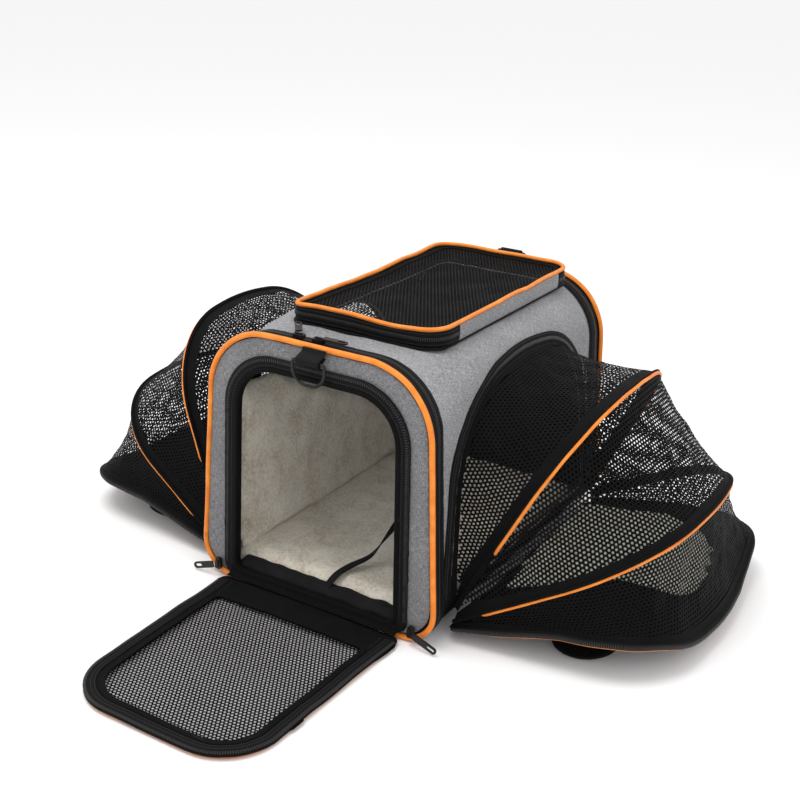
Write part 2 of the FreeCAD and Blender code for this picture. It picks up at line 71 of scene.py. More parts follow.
MM = 0.001
ROW_RATIO = 0.866          # height of a row of even triangles against their side
BAND_SCALE = 0.314159      # wave scale that gives one band per unit of length
WAVE_GAIN = 1.8            # brings the mean of several sines back to about one


def lo(node):
    return np.array(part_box(node)[0])


def hi(node):
    return np.array(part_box(node)[1])


def joint_place(name):
    joint = next(j for j in frame["record"]["behaviour"]["joints"] if j["name"] == name)
    return np.array(joint["pos_m"])


# ---- sizes, from the frame's nodes and joints where they hold them ----
HEIGHT = hi("roof_cover")[2]                    # top of the shell
SHELL_HALF = hi("roof_cover")[1]                # half length of the shell
END_FACE = hi("back_end_panel")[1]              # outer face of each end panel
HALF_BASE = 153 * MM                            # half width of the shell at the floor
HALF_TOP = 134 * MM                             # half width that the sides would reach at the roof
END_RADIUS = 75 * MM
MID_RADIUS = 46 * MM
BASE_RADIUS = 38 * MM
SLOPE = (HALF_BASE - HALF_TOP) / HEIGHT
TILT = math.atan(SLOPE)
FLOOR_SPLIT = hi("bottom_tray")[2]
BAND_INNER = hi("front_zip_band")[1]            # y where the front zip band ends
PIPING_RADIUS = (hi("front_piping")[1] - lo("front_piping")[1]) / 2
PIPING_Y = (hi("back_piping")[1] + lo("back_piping")[1]) / 2

TENT_HINGE = joint_place("right_tent_fold")
ARCH_HALF = 196 * MM                            # half length of a side opening at its hinge
ARCH_SHOULDER = (165 * MM, 236 * MM)            # corner of the arch before rounding
ARCH_CROWN = 255 * MM
ARCH_RADIUS, CROWN_RADIUS = 140 * MM, 350 * MM
HOOP_2_ANGLE, PANEL_ANGLE = 60.0, 86.0          # the open tent, from vertical
PANEL_INNER, PANEL_OUTER, RIM_REACH = 17 * MM, 25 * MM, 16.9 * MM

DOOR_HINGE = joint_place("door_swing")
DOOR_HALF, DOOR_TOP_HALF = 120 * MM, 112 * MM
DOOR_NEAR = DOOR_HINGE[1] - hi("door_binding")[1]
DOOR_FAR = DOOR_HINGE[1] - lo("door_binding")[1]
DOOR_TOP_Z = hi("door_binding")[2]
DOOR_CORNER = 62 * MM
TAPE_WIDTH = 16 * MM
DOORWAY = dict(half=108 * MM, top_half=102 * MM, sill=16 * MM, top=hi("front_end_tape")[2] - TAPE_WIDTH,
               corner=52 * MM)

LID_MID = (lo("lid_mesh") + hi("lid_mesh")) / 2
LID_HALF = (hi("lid_piping") - lo("lid_piping")) / 2 - 1.5 * MM
LID_RADIUS = 30 * MM
LID_FLOOR = lo("lid_wall")[2]
LID_TOP = hi("lid_wall")[2]


# ---- small geometry tools ----

def unit(vectors):
    return vectors / np.maximum(np.linalg.norm(vectors, axis=-1, keepdims=True), 1e-12)


def smooth(t):
    t = np.clip(t, 0, 1)
    return t * t * (3 - 2 * t)


def mm(*points):
    """Points given in millimetres, as an array in metres."""
    return np.array(points, float) * MM


def repeated(vector, count):
    return np.tile(np.array(vector, float), (count, 1))


def run_along(path):
    """Distance travelled at each point of a path."""
    return np.concatenate([[0], np.cumsum(np.linalg.norm(np.diff(path, axis=0), axis=1))])


def read_off(at, run, rows):
    """Rows of values between those known at the distances in run."""
    return np.stack([np.interp(at, run, rows[:, k]) for k in range(rows.shape[1])], axis=1)


def resample(points, step, closed):
    """Even spacing along a polyline."""
    if closed:
        points = np.vstack([points, points[:1]])
    run = run_along(points)
    count = max(3, int(round(run[-1] / step)))
    at = np.linspace(0, run[-1], count + 1)
    if closed:
        at = at[:-1]
    return read_off(at, run, points)


def rounded(corners, radii, step, closed=True):
    """Points along straight runs joined by tangent arcs."""
    corners = np.array(corners, float)
    count, out = len(corners), []
    for i, here in enumerate(corners):
        if radii[i] <= 0 or (not closed and i in (0, count - 1)):
            out.append(here[None])
            continue
        back, ahead = unit(corners[i - 1] - here), unit(corners[(i + 1) % count] - here)
        half = math.acos(float(np.clip(back @ ahead, -1, 1))) / 2
        start, end = here + back * radii[i] / math.tan(half), here + ahead * radii[i] / math.tan(half)
        centre = here + unit(back + ahead) * radii[i] / math.sin(half)
        first = math.atan2(*(start - centre)[::-1])
        turn = (math.atan2(*(end - centre)[::-1]) - first + math.pi) % (2 * math.pi) - math.pi
        angles = first + np.linspace(0, turn, 17)
        out.append(centre + radii[i] * np.stack([np.cos(angles), np.sin(angles)], axis=1))
    return resample(np.vstack(out), step, closed)


def trapezoid(half_low, half_high, low, high, radius_low, radius_high, step):
    corners = [(-half_low, low), (half_low, low), (half_high, high), (-half_high, high)]
    return rounded(corners, [radius_low, radius_low, radius_high, radius_high], step)


def tangents(path, closed):
    if closed:
        return unit(np.roll(path, -1, axis=0) - np.roll(path, 1, axis=0))
    return unit(np.gradient(path, axis=0))


def inside(points, loop):
    """Which 2-D points lie in a closed loop."""
    x, y = points[:, 0], points[:, 1]
    result = np.zeros(len(points), bool)
    for (ax, ay), (bx, by) in zip(loop, np.roll(loop, -1, axis=0)):
        crosses = (ay > y) != (by > y)
        if by != ay:
            result ^= crosses & (x < (bx - ax) * (y - ay) / (by - ay) + ax)
    return result


def near_loop(points, loop, distance):
    """Which points lie within a distance of a loop's points."""
    close = np.zeros(len(points), bool)
    for vertex in loop:
        close |= ((points - vertex) ** 2).sum(axis=1) < distance ** 2
    return close


class Waves:
    """Smooth repeatable noise: a sum of sines with random directions."""

    def __init__(self, size, seed, terms=10):
        source = np.random.default_rng(seed)
        directions = unit(source.normal(size=(terms, 3)))
        self.waves = directions * (2 * math.pi / size) * source.uniform(0.6, 1.7, (terms, 1))
        self.phases = source.uniform(0, 2 * math.pi, terms)

    def __call__(self, points):
        return np.sin(points @ self.waves.T + self.phases).mean(axis=1) * WAVE_GAIN

    def over(self, flat, third=0):
        """Noise over 2-D points; third scales the first coordinate into the third."""
        return self(np.column_stack([flat, flat[:, 0] * third]))


def open_from(loop, keep, gap=60 * MM):
    """The part of a closed loop for which keep is true, as an open line."""
    part = loop[keep]
    jumps = np.linalg.norm(np.diff(part, axis=0), axis=1)
    if jumps.max() > gap:
        part = np.roll(part, -(int(np.argmax(jumps)) + 1), axis=0)
    return part


# ---- mesh building ----

def add_mesh(name, verts, faces, material, pattern=None, soft=True):
    """One object from vertex positions and arrays of faces, grouped by corner count."""
    mesh = bpy.data.meshes.new(name)
    verts = np.asarray(verts, float)
    groups = [np.asarray(group, np.int32) for group in faces if len(group)]
    corners = np.concatenate([group.ravel() for group in groups])
    sizes = np.concatenate([np.full(len(group), group.shape[1]) for group in groups])
    mesh.vertices.add(len(verts))
    mesh.vertices.foreach_set("co", verts.astype(np.float32).ravel())
    mesh.loops.add(len(corners))
    mesh.loops.foreach_set("vertex_index", corners.astype(np.int32))
    mesh.polygons.add(len(sizes))
    mesh.polygons.foreach_set("loop_start", np.concatenate([[0], np.cumsum(sizes)[:-1]]).astype(np.int32))
    mesh.update(calc_edges=True)
    mesh.validate()
    if pattern is not None:
        flat = np.zeros((len(verts), 3), np.float32)
        flat[:, :pattern.shape[1]] = pattern
        mesh.attributes.new("pattern", "FLOAT_VECTOR", "POINT").data.foreach_set("vector", flat.ravel())
    mesh.materials.append(material)
    if soft:
        mesh.polygons.foreach_set("use_smooth", np.ones(len(mesh.polygons), bool))
    piece = bpy.data.objects.new(name, mesh)
    bpy.context.scene.collection.objects.link(piece)
    return piece


def sheet_net(outer, holes, step):
    """Even triangles between an outer loop and its holes, in 2-D."""
    low, high = outer.min(axis=0), outer.max(axis=0)
    xs, ys = np.arange(low[0], high[0], step), np.arange(low[1], high[1], step * ROW_RATIO)
    grid = np.array([(x + (row % 2) * step / 2, y) for row, y in enumerate(ys) for x in xs])
    keep = inside(grid, outer) & ~near_loop(grid, outer, step * 0.6)
    for hole in holes:
        keep &= ~inside(grid, hole) & ~near_loop(grid, hole, step * 0.6)
    loops = [outer] + list(holes)
    edges, start = [], 0
    for loop in loops:
        count = len(loop)
        edges += [(start + k, start + (k + 1) % count) for k in range(count)]
        start += count
    points = np.vstack(loops + [grid[keep]])
    found = delaunay_2d_cdt([Vector(p) for p in points], edges, [], 0, 1e-7)
    points, tris = np.array([tuple(p) for p in found[0]]), np.array([f for f in found[2] if len(f) == 3])
    middle = points[tris].mean(axis=1)
    keep = inside(middle, outer)
    for hole in holes:
        keep &= ~inside(middle, hole)
    return points, tris[keep]


def sheet_piece(name, outer, holes, step, place, material, thickness=0.0):
    """Cloth cut to loops in 2-D and laid on a surface by place(points) -> positions."""
    points, tris = sheet_net(outer, holes, step)
    piece = add_mesh(name, place(points), [tris], material, pattern=points)
    if thickness:
        thicken(piece, thickness)
    return piece


def thicken(piece, thickness, offset=-1.0):
    solid = piece.modifiers.new("thickness", "SOLIDIFY")
    solid.thickness = thickness
    solid.offset = offset
    return piece


def grid_quads(rows, columns):
    """Quads of a grid of points numbered row by row."""
    i, j = np.meshgrid(np.arange(rows - 1), np.arange(columns - 1), indexing="ij")
    corner = (i * columns + j).ravel()
    return np.stack([corner, corner + columns, corner + columns + 1, corner + 1], axis=1)


def tube_caps(stations, corners):
    return np.array([np.arange(corners)[::-1], (stations - 1) * corners + np.arange(corners)])


def run_pattern(path, section):
    """Cloth coordinates: distance along a path and round its section."""
    return np.stack(np.meshgrid(run_along(path), run_along(section), indexing="ij"), axis=-1).reshape(-1, 2)


def sweep(name, path, side, up, profile, material, closed=False):
    """Carry a closed profile of (side, up) points along a path."""
    profile = np.array(profile, float)
    n, m = len(path), len(profile)
    verts = path[:, None] + side[:, None] * profile[None, :, :1] + up[:, None] * profile[None, :, 1:]
    i = np.arange(n if closed else n - 1)
    i, j = np.meshgrid(i, np.arange(m), indexing="ij")
    i2, j2 = (i + 1) % n, (j + 1) % m
    quads = np.stack([i * m + j, i * m + j2, i2 * m + j2, i2 * m + j], axis=-1).reshape(-1, 4)
    faces = [quads] if closed else [quads, tube_caps(n, m)]
    return add_mesh(name, verts.reshape(-1, 3), faces, material, pattern=run_pattern(path, profile))


def tube_mesh(name, ring, material):
    """Closed tube through rings of points, ring[station, corner]."""
    n, m = ring.shape[:2]
    i, j = np.meshgrid(np.arange(n - 1), np.arange(m), indexing="ij")
    after = (j + 1) % m
    quads = np.stack([i * m + j, i * m + after, (i + 1) * m + after, (i + 1) * m + j], axis=-1).reshape(-1, 4)
    return add_mesh(name, ring.reshape(-1, 3), [quads, tube_caps(n, m)], material,
                    pattern=run_pattern(ring[:, 0], ring[n // 2]))


def round_profile(radius, count=10):
    angles = np.linspace(0, 2 * math.pi, count, endpoint=False)
    return [(radius * math.cos(a), radius * math.sin(a)) for a in angles]


def strip_profile(low, high, thick, lift=0.0):
    """Flat strip from low to high with rounded edges."""
    edge = thick / 2
    across = np.linspace(low + edge, high - edge, 7)
    top = [(a, lift + thick) for a in across]
    bottom = [(a, lift) for a in across[::-1]]
    return [(low, lift + edge)] + top + [(high, lift + edge)] + bottom


def blocks(name, centres, along, across, up, size, material):
    """Many small bevelled bars, such as zip teeth or stitches, as one mesh."""
    half = np.array(size) / 2
    bevel = 0.55
    ring = [(-1, -bevel), (-bevel, -1), (bevel, -1), (1, -bevel),
            (1, bevel), (bevel, 1), (-bevel, 1), (-1, bevel)]
    verts = []
    for level, shrink in ((-1, 1.0), (0.5, 1.0), (1, 0.6)):
        for a, b in ring:
            verts.append(centres + along * (a * half[0] * shrink) + across * (b * half[1] * shrink)
                         + up * (level * half[2]))
    verts = np.stack(verts, axis=1)
    k = np.arange(8)
    after = (k + 1) % 8
    sides = [np.stack([level + k, level + after, level + 8 + after, level + 8 + k], axis=1)
             for level in (0, 8)]
    start = np.arange(len(centres))[:, None, None] * 24
    quads = (np.vstack(sides)[None] + start).reshape(-1, 4)
    caps = (np.stack([16 + k])[None] + start).reshape(-1, 8)
    return add_mesh(name, verts.reshape(-1, 3), [quads, caps], material, soft=False)


def block_row(name, line, size, material, pitch, spare, offset, lift):
    """Row of bars along a line (path, side and up), ending a spare length before its end."""
    run = run_along(line[0])
    at = np.arange(pitch, run[-1] - spare, pitch)
    centre, across, normal = (read_off(at, run, rows) for rows in line)
    across, normal = unit(across), unit(normal)
    along = unit(np.cross(across, normal))
    return blocks(name, centre + across * offset + normal * lift, along, across, normal, size, material)


def teeth(name, line, offset=0.0, lift=0.0, width=4.6 * MM, pitch=2.3 * MM):
    """Row of zip teeth along a line."""
    return block_row(name, line, (pitch * 0.62, width, 1.5 * MM), TEETH, pitch, pitch, offset, lift)


def stitches(name, line, material, offset=0.0, lift=0.0, pitch=3.4 * MM):
    """Row of sewing thread along a line."""
    return block_row(name, line, (pitch * 0.74, 0.55 * MM, 0.5 * MM), material, pitch, 0, offset, lift)


def sew_zip(name, line, body, teeth_settings, seams):
    """Teeth along a line, and seams beside them given as {tag: (offset, lift)} in millimetres."""
    attach(teeth(f"{name}_teeth", line, **teeth_settings), body, "zip_tape")
    for tag, (offset, lift) in seams.items():
        seam = stitches(f"{name}_seam_{tag}", line, THREAD, offset=offset * MM, lift=lift * MM)
        attach(seam, body, "zip_tape")


def netting(name, cells, place, material, pitch, hole):
    """Knitted net as real strands: six-sided holes on a staggered grid.
    cells holds the grid's low and high corners, and wanted(points), which picks the holes to cut;
    place maps flat points to positions."""
    low, high, wanted = cells
    rows = int((high[1] - low[1]) / (pitch * ROW_RATIO)) + 2
    cols = int((high[0] - low[0]) / pitch) + 2
    j, i = np.meshgrid(np.arange(rows), np.arange(cols), indexing="ij")
    centre = np.stack([low[0] + i * pitch + (j % 2) * pitch / 2, low[1] + j * pitch * ROW_RATIO], axis=-1)
    use = wanted(centre.reshape(-1, 2)).reshape(rows, cols)
    angles = np.radians(30 + 60 * np.arange(6))
    ring = np.stack([np.cos(angles), np.sin(angles)], axis=1) * hole
    flat = (centre[:, :, None] + ring).reshape(-1, 2)
    cell = lambda jj, ii, k: (jj * cols + ii) * 6 + k
    right = lambda jj, ii: (jj, ii + 1)
    up_right = lambda jj, ii: (jj + 1, ii + jj % 2)
    up_left = lambda jj, ii: (jj + 1, ii + jj % 2 - 1)
    ok = lambda jj, ii: (jj >= 0) & (jj < rows) & (ii >= 0) & (ii < cols) & \
        use[np.clip(jj, 0, rows - 1), np.clip(ii, 0, cols - 1)]
    quads, tris = [], []
    for other, (a, b, c, d) in ((right, (5, 3, 2, 0)), (up_right, (0, 4, 3, 1)), (up_left, (1, 5, 4, 2))):
        jn, im = other(j, i)
        good = use & ok(jn, im)
        jg, ig, jn, im = j[good], i[good], jn[good], im[good]
        quads.append(np.stack([cell(jg, ig, a), cell(jn, im, b), cell(jn, im, c), cell(jg, ig, d)], axis=1))
    for first, second, (a, b, c) in ((up_right, up_left, (1, 3, 5)), (right, up_right, (0, 2, 4))):
        j1, i1 = first(j, i)
        j2, i2 = second(j, i)
        good = use & ok(j1, i1) & ok(j2, i2)
        tris.append(np.stack([cell(j[good], i[good], a), cell(j1[good], i1[good], b),
                              cell(j2[good], i2[good], c)], axis=1))
    quads, tris = np.vstack(quads), np.vstack(tris)
    used, index = np.unique(np.concatenate([quads.ravel(), tris.ravel()]), return_inverse=True)
    quads, tris = index[:quads.size].reshape(-1, 4), index[quads.size:].reshape(-1, 3)
    flat = flat[used]
    piece = add_mesh(name, place(flat), [quads, tris], material, pattern=flat)
    return piece, flat


def within(loop):
    """Cells for netting: all those inside a loop."""
    return loop.min(axis=0), loop.max(axis=0), lambda points: inside(points, loop)


def tidy_normals(piece):
    """Turn a closed mesh's faces outwards."""
    work = bmesh.new()
    work.from_mesh(piece.data)
    bmesh.ops.recalc_face_normals(work, faces=work.faces)
    work.to_mesh(piece.data)
    work.free()
    return piece


def grid_piece(name, us, vs, place, material):
    """Structured strip of cloth over place(u, v)."""
    u, v = np.meshgrid(us, vs, indexing="ij")
    flat = np.stack([u.ravel(), v.ravel()], axis=1)
    return add_mesh(name, place(flat), [grid_quads(len(us), len(vs))], material, pattern=flat)


def pillow(name, loop, step, place, thick, soft_edge, material, dimple=None):
    """Padded slab: two faces that meet at the loop. place(points, height) gives positions."""
    points, tris = sheet_net(loop, [], step)
    gap = np.full(len(points), 1e9)
    for start in range(0, len(loop), 40):
        part = loop[start:start + 40]
        gap = np.minimum(gap, np.sqrt(((points[:, None] - part[None]) ** 2).sum(axis=2)).min(axis=1))
    gap[:len(loop)] = 0
    rise = thick / 2 * np.sqrt(np.clip(1 - (1 - np.clip(gap / soft_edge, 0, 1)) ** 2, 0, 1))
    top, bottom = rise.copy(), -rise
    if dimple is not None:
        top = top + dimple(points) * np.clip(gap / soft_edge, 0, 1)
    edge = len(loop)
    verts = np.vstack([place(points, top), place(points[edge:], bottom[edge:])])
    lower = np.where(tris < edge, tris, tris + len(points) - edge)
    pattern = np.vstack([points, points[edge:]])
    return tidy_normals(add_mesh(name, verts, [tris, lower[:, ::-1]], material, pattern=pattern))


def ring_frame(loop, place, up, closed=True):
    """Path, outward direction and up direction along a 2-D loop laid in a plane."""
    along = tangents(loop, closed)
    outward = np.stack([along[:, 1], -along[:, 0]], axis=1)
    path = place(loop)
    side = unit(place(loop + outward * MM) - path)
    return path, side, repeated(up, len(loop))


def attach(piece, body, finish, *nodes):
    """Let a piece move with a body and replace frame nodes; the finish argument is not used."""
    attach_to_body(piece, body)
    if nodes:
        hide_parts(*nodes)
    return piece


def add_swept(name, line, profile, material, body, finish, *nodes, closed=False):
    """Sweep a profile along a line (path, side and up) and attach the piece to a body."""
    piece = tidy_normals(sweep(name, *line, profile, material, closed))
    return attach(piece, body, finish, *nodes)


# ---- materials ----

class Finish:
    """A node material under construction."""

    def __init__(self, name, colour, rough, metal=0.0, sheen=0.0, shine=0.5):
        self.material = bpy.data.materials.new(name)
        self.material.use_nodes = True
        self.tree = self.material.node_tree
        self.surface = self.tree.nodes["Principled BSDF"]
        self.surface.inputs["Base Color"].default_value = (*colour, 1)
        self.surface.inputs["Roughness"].default_value = rough
        self.surface.inputs["Metallic"].default_value = metal
        self.surface.inputs["Sheen Weight"].default_value = sheen
        self.surface.inputs["Sheen Roughness"].default_value = 0.5
        self.surface.inputs["Specular IOR Level"].default_value = shine

    def node(self, kind, inputs=(), out=0, **settings):
        made = self.tree.nodes.new(kind)
        for key, value in settings.items():
            setattr(made, key, value)
        for key, value in dict(inputs).items():
            if isinstance(value, bpy.types.NodeSocket):
                self.tree.links.new(value, made.inputs[key])
            else:
                made.inputs[key].default_value = value
        return made.outputs[out]

    def cloth_coords(self, scale=(1, 1, 1)):
        flat = self.node("ShaderNodeAttribute", out=1, attribute_name="pattern")
        return self.node("ShaderNodeVectorMath", {0: flat, 1: scale}, operation="MULTIPLY")

    def noise(self, vector, scale, detail=3.0, rough=0.6):
        return self.node("ShaderNodeTexNoise",
                         {"Vector": vector, "Scale": scale, "Detail": detail, "Roughness": rough})

    def weave(self, pitch):
        """Warp bands times weft bands."""
        return self.math("MULTIPLY", self.bands(self.cloth_coords(), pitch, "X"),
                         self.bands(self.cloth_coords(), pitch, "Y"))

    def bands(self, vector, pitch, direction):
        return self.node("ShaderNodeTexWave", {"Vector": vector, "Scale": BAND_SCALE / pitch},
                         out=1, bands_direction=direction)

    def math(self, operation, a, b):
        return self.node("ShaderNodeMath", {0: a, 1: b}, operation=operation)

    def ramp(self, factor, stops):
        made = self.tree.nodes.new("ShaderNodeValToRGB")
        self.tree.links.new(factor, made.inputs[0])
        elements = made.color_ramp.elements
        while len(elements) < len(stops):
            elements.new(0.5)
        for element, (place, colour) in zip(elements, stops):
            element.position = place
            element.color = (*colour, 1) if len(colour) == 3 else colour
        return made.outputs[0]

    def colour(self, socket):
        self.tree.links.new(socket, self.surface.inputs["Base Color"])

    def roughness(self, socket):
        self.tree.links.new(socket, self.surface.inputs["Roughness"])

    def bump(self, height, distance, strength=1.0):
        normal = self.node("ShaderNodeBump", {"Height": height, "Distance": distance, "Strength": strength})
        self.tree.links.new(normal, self.surface.inputs["Normal"])


def grey(value, blue=1.0):
    return (value, value, value * blue)


def heather_finish(name, light=1.0):
    """Melange canvas: light and dark yarns crossing."""
    # light scales the canvas colours and sheen; below one it gives a darker copy of the cloth, painted shade.
    f = Finish(name, grey(0.28 * light), 0.9, sheen=0.08 * light, shine=0.25)
    weft = f.noise(f.cloth_coords((180, 1400, 1)), 1.0, 2.0)
    warp = f.noise(f.cloth_coords((1400, 180, 1)), 1.0, 2.0)
    fleck = f.noise(f.cloth_coords((900, 900, 1)), 1.0, 1.0)
    cloud = f.noise(f.cloth_coords(), 14.0, 2.0)
    mixed = f.math("ADD", f.math("MULTIPLY", weft, 0.36), f.math("MULTIPLY", warp, 0.36))
    mixed = f.math("ADD", mixed, f.math("MULTIPLY", fleck, 0.2))
    mixed = f.math("ADD", mixed, f.math("MULTIPLY", cloud, 0.08))
    f.colour(f.ramp(mixed, [(0.40, grey(0.13 * light, 1.05)), (0.5, grey(0.265 * light, 1.04)),
                           (0.60, grey(0.46 * light, 1.03))]))
    f.bump(f.math("ADD", f.weave(0.9 * MM), f.math("MULTIPLY", mixed, 0.6)), 0.25 * MM)
    return f.material


def plain_finish(name, shade, pitch, rough, sheen=0.01, depth=0.2, shine=0.06):
    """Black nylon cloth with a fine weave and slight fading."""
    f = Finish(name, grey(shade), rough, sheen=sheen, shine=shine)
    cloud = f.noise(f.cloth_coords(), 30.0, 4.0)
    f.colour(f.ramp(cloud, [(0.3, grey(shade * 0.7)), (0.7, grey(shade * 1.5, 1.05))]))
    f.bump(f.weave(pitch), depth * MM)
    f.roughness(f.ramp(cloud, [(0.3, grey(rough - 0.08)), (0.7, grey(min(rough + 0.08, 1)))]))
    return f.material


def rib_finish(name, shade, pitch, rough, depth=0.35):
    """Ribbed tape or webbing; the ribs cross its length."""
    f = Finish(name, grey(shade), rough, sheen=0.012, shine=0.13)
    ribs = f.bands(f.cloth_coords(), pitch, "X")
    fine = f.bands(f.cloth_coords(), pitch * 0.7, "Y")
    fuzz = f.noise(f.cloth_coords(), 800.0, 2.0)
    f.colour(f.ramp(f.math("MULTIPLY", ribs, fuzz),
                    [(0.1, grey(shade * 0.6)), (0.5, grey(shade * 1.7, 1.06))]))
    f.bump(f.math("ADD", ribs, f.math("MULTIPLY", fine, 0.5)), depth * MM)
    return f.material


def cord_finish():
    """Orange satin wound round a cord."""
    f = Finish("orange_satin", (0.86, 0.235, 0.022), 0.55, sheen=0.08, shine=0.3)
    cloud = f.noise(f.cloth_coords(), 60.0, 3.0)
    twill = f.bands(f.cloth_coords(), 1.1 * MM, "DIAGONAL")
    mixed = f.math("ADD", f.math("MULTIPLY", cloud, 0.8), f.math("MULTIPLY", twill, 0.2))
    f.colour(f.ramp(mixed, [(0.3, (0.74, 0.17, 0.012)), (0.7, (0.94, 0.31, 0.035))]))
    f.bump(twill, 0.15 * MM)
    return f.material


def fleece_finish(name, light=1.0):
    """Cream plush with a soft pile."""
    f = Finish(name, (0.62, 0.57, 0.48), 1.0, sheen=0.6)
    # light scales the plush colours; above one it gives a brighter copy of the same plush, painted light.
    tone = lambda *rgb: tuple(min(value * light, 0.96) for value in rgb)
    f.surface.inputs["Sheen Tint"].default_value = (1.0, 0.96, 0.88, 1)
    spot = f.node("ShaderNodeTexCoord", out=3)
    tuft = f.noise(spot, 260.0, 4.0, 0.7)
    cloud = f.noise(spot, 26.0, 3.0)
    mixed = f.math("ADD", f.math("MULTIPLY", tuft, 0.52), f.math("MULTIPLY", cloud, 0.48))
    f.colour(f.ramp(mixed, [(0.36, tone(0.44, 0.37, 0.275)), (0.5, tone(0.66, 0.60, 0.505)),
                           (0.64, tone(0.80, 0.76, 0.68))]))
    f.bump(tuft, 2.2 * MM, 0.9)
    return f.material


def plastic_finish(name, shade, rough, metal=0.0):
    f = Finish(name, grey(shade), rough, metal)
    spot = f.node("ShaderNodeTexCoord", out=3)
    wear = f.noise(spot, 220.0, 4.0)
    f.roughness(f.ramp(wear, [(0.35, grey(rough - 0.06)), (0.7, grey(rough + 0.18))]))
    f.colour(f.ramp(wear, [(0.3, grey(shade * 0.8)), (0.75, grey(shade * 1.35))]))
    f.bump(wear, 0.04 * MM)
    return f.material


HEATHER = heather_finish("heather_canvas")
# The end panels' canvas: a darker copy of the same heather, painted shade for ends that stand in less light
# than the roof.
SHADED_END_HEATHER = heather_finish("heather_end_canvas", 0.72)
NYLON = plain_finish("black_nylon", 0.004, 0.8 * MM, 0.72)
LINING = plain_finish("black_lining", 0.012, 0.7 * MM, 0.8)
NET = plain_finish("black_net", 0.0028, 0.6 * MM, 0.62, depth=0.1)
TAPE = rib_finish("black_zip_tape", 0.004, 1.1 * MM, 0.75, 0.2)
WEBBING = rib_finish("black_webbing", 0.006, 1.8 * MM, 0.7)
ORANGE = cord_finish()
FLEECE = fleece_finish("cream_plush")
# A brighter copy of the plush for the flap: painted light, making up for the shade the nets cast on it.
PAINTED_LIGHT_FLEECE = fleece_finish("pale_plush", 1.6)
TEETH = plastic_finish("black_zip_teeth", 0.010, 0.34)
METAL = plastic_finish("gunmetal", 0.016, 0.36, 0.6)
BOARD = plastic_finish("board_plastic", 0.03, 0.6)
THREAD = plastic_finish("black_thread", 0.014, 0.65)
HEATHER_THREAD = plastic_finish("grey_thread", 0.12, 0.7)
NET_PITCH, NET_HOLE = 5.0 * MM, 1.5 * MM


# ---- the shell's surface: p runs over the cloth from the roof's middle line, right positive ----

LOW_TURN, HIGH_TURN = math.pi / 2 + TILT, math.pi / 2 - TILT
LOW_RUN = BASE_RADIUS * math.tan(LOW_TURN / 2)
END_RUN, MID_RUN = 189 * MM, 105 * MM           # y where the corner radius ends growing, and where it starts
SHIFT_FROM, SHIFT_OVER = 60 * MM, 140 * MM      # stretch of cloth that takes up the change of corner


def corner_radius(y):
    return MID_RADIUS + (END_RADIUS - MID_RADIUS) * np.clip((np.abs(y) - MID_RUN) / (END_RUN - MID_RUN), 0, 1)


def shell_point(flat, lift=0.0):
    """Position and outward normal on the shell for (p, y) points."""
    p, y = flat[:, 0], flat[:, 1]
    side, reach = np.where(p < 0, -1.0, 1.0), np.abs(p)
    radius = corner_radius(y)
    run = radius * math.tan(HIGH_TURN / 2)
    shift = (radius - MID_RADIUS) * (HIGH_TURN - 2 * math.tan(HIGH_TURN / 2))
    s = reach + shift * smooth((reach - SHIFT_FROM) / SHIFT_OVER)
    roof = HALF_TOP - run
    bend = radius * HIGH_TURN
    wall = HEIGHT / math.cos(TILT) - LOW_RUN - run
    over_corner = np.clip((s - roof) / radius, 0, HIGH_TURN)
    down_wall = np.clip(s - roof - bend, 0, wall)
    under = np.clip((s - roof - bend - wall) / BASE_RADIUS, 0, LOW_TURN)
    inward = np.maximum(s - roof - bend - wall - BASE_RADIUS * LOW_TURN, 0)
    turn = over_corner + under
    normal = np.stack([side * np.sin(turn), np.zeros(len(p)), np.cos(turn)], axis=1)
    x = np.minimum(s, roof) + radius * np.sin(over_corner) + down_wall * math.sin(TILT)
    z = HEIGHT - radius * (1 - np.cos(over_corner)) - down_wall * math.cos(TILT)
    x += BASE_RADIUS * (np.sin(HIGH_TURN + under) - math.sin(HIGH_TURN)) - inward
    z += BASE_RADIUS * (np.cos(HIGH_TURN + under) - math.cos(HIGH_TURN))
    point = np.stack([side * x, y, z], axis=1)
    return point + normal * np.reshape(lift, (-1, 1)), normal


def wall_to_p(rise):
    """Distance over the cloth from the roof's middle to a point on the wall this far above the hinge."""
    run = MID_RADIUS * math.tan(HIGH_TURN / 2)
    top = HEIGHT - MID_RADIUS * (1 - math.cos(HIGH_TURN))
    z = TENT_HINGE[2] + rise * math.cos(TILT)
    return HALF_TOP - run + MID_RADIUS * HIGH_TURN + (top - z) / math.cos(TILT)


def z_to_p(z):
    """Distance over the cloth at a height in the lower corner or on the wall."""
    straight = wall_to_p((np.maximum(z, BASE_RADIUS) - TENT_HINGE[2]) / math.cos(TILT))
    return straight + np.maximum(BASE_RADIUS - z, 0) * 1.05


def arch_corners(inset, foot, rise=0.0):
    """Foot, shoulder, crown, shoulder and foot of the arch, moved inwards; rise lifts the crown."""
    lean = (ARCH_HALF - ARCH_SHOULDER[0]) / ARCH_SHOULDER[1]
    dome = (ARCH_CROWN - ARCH_SHOULDER[1]) / ARCH_SHOULDER[0]
    half = ARCH_HALF - inset * math.hypot(1, lean)
    crown = ARCH_CROWN + rise - inset * math.hypot(1, dome)
    shoulder = (half - lean * crown) / (1 - lean * dome)
    half_foot = half - lean * foot
    return [(-half_foot, foot), (-shoulder, crown - dome * shoulder), (0, crown),
            (shoulder, crown - dome * shoulder), (half_foot, foot)]


def arch_outline(inset, foot, step=6 * MM):
    """Closed outline of the arch as (y, distance from the hinge)."""
    corner = ARCH_RADIUS - inset
    radii = [4 * MM, corner, CROWN_RADIUS, corner, 4 * MM]
    return rounded(arch_corners(inset, foot)[::-1], radii, step)


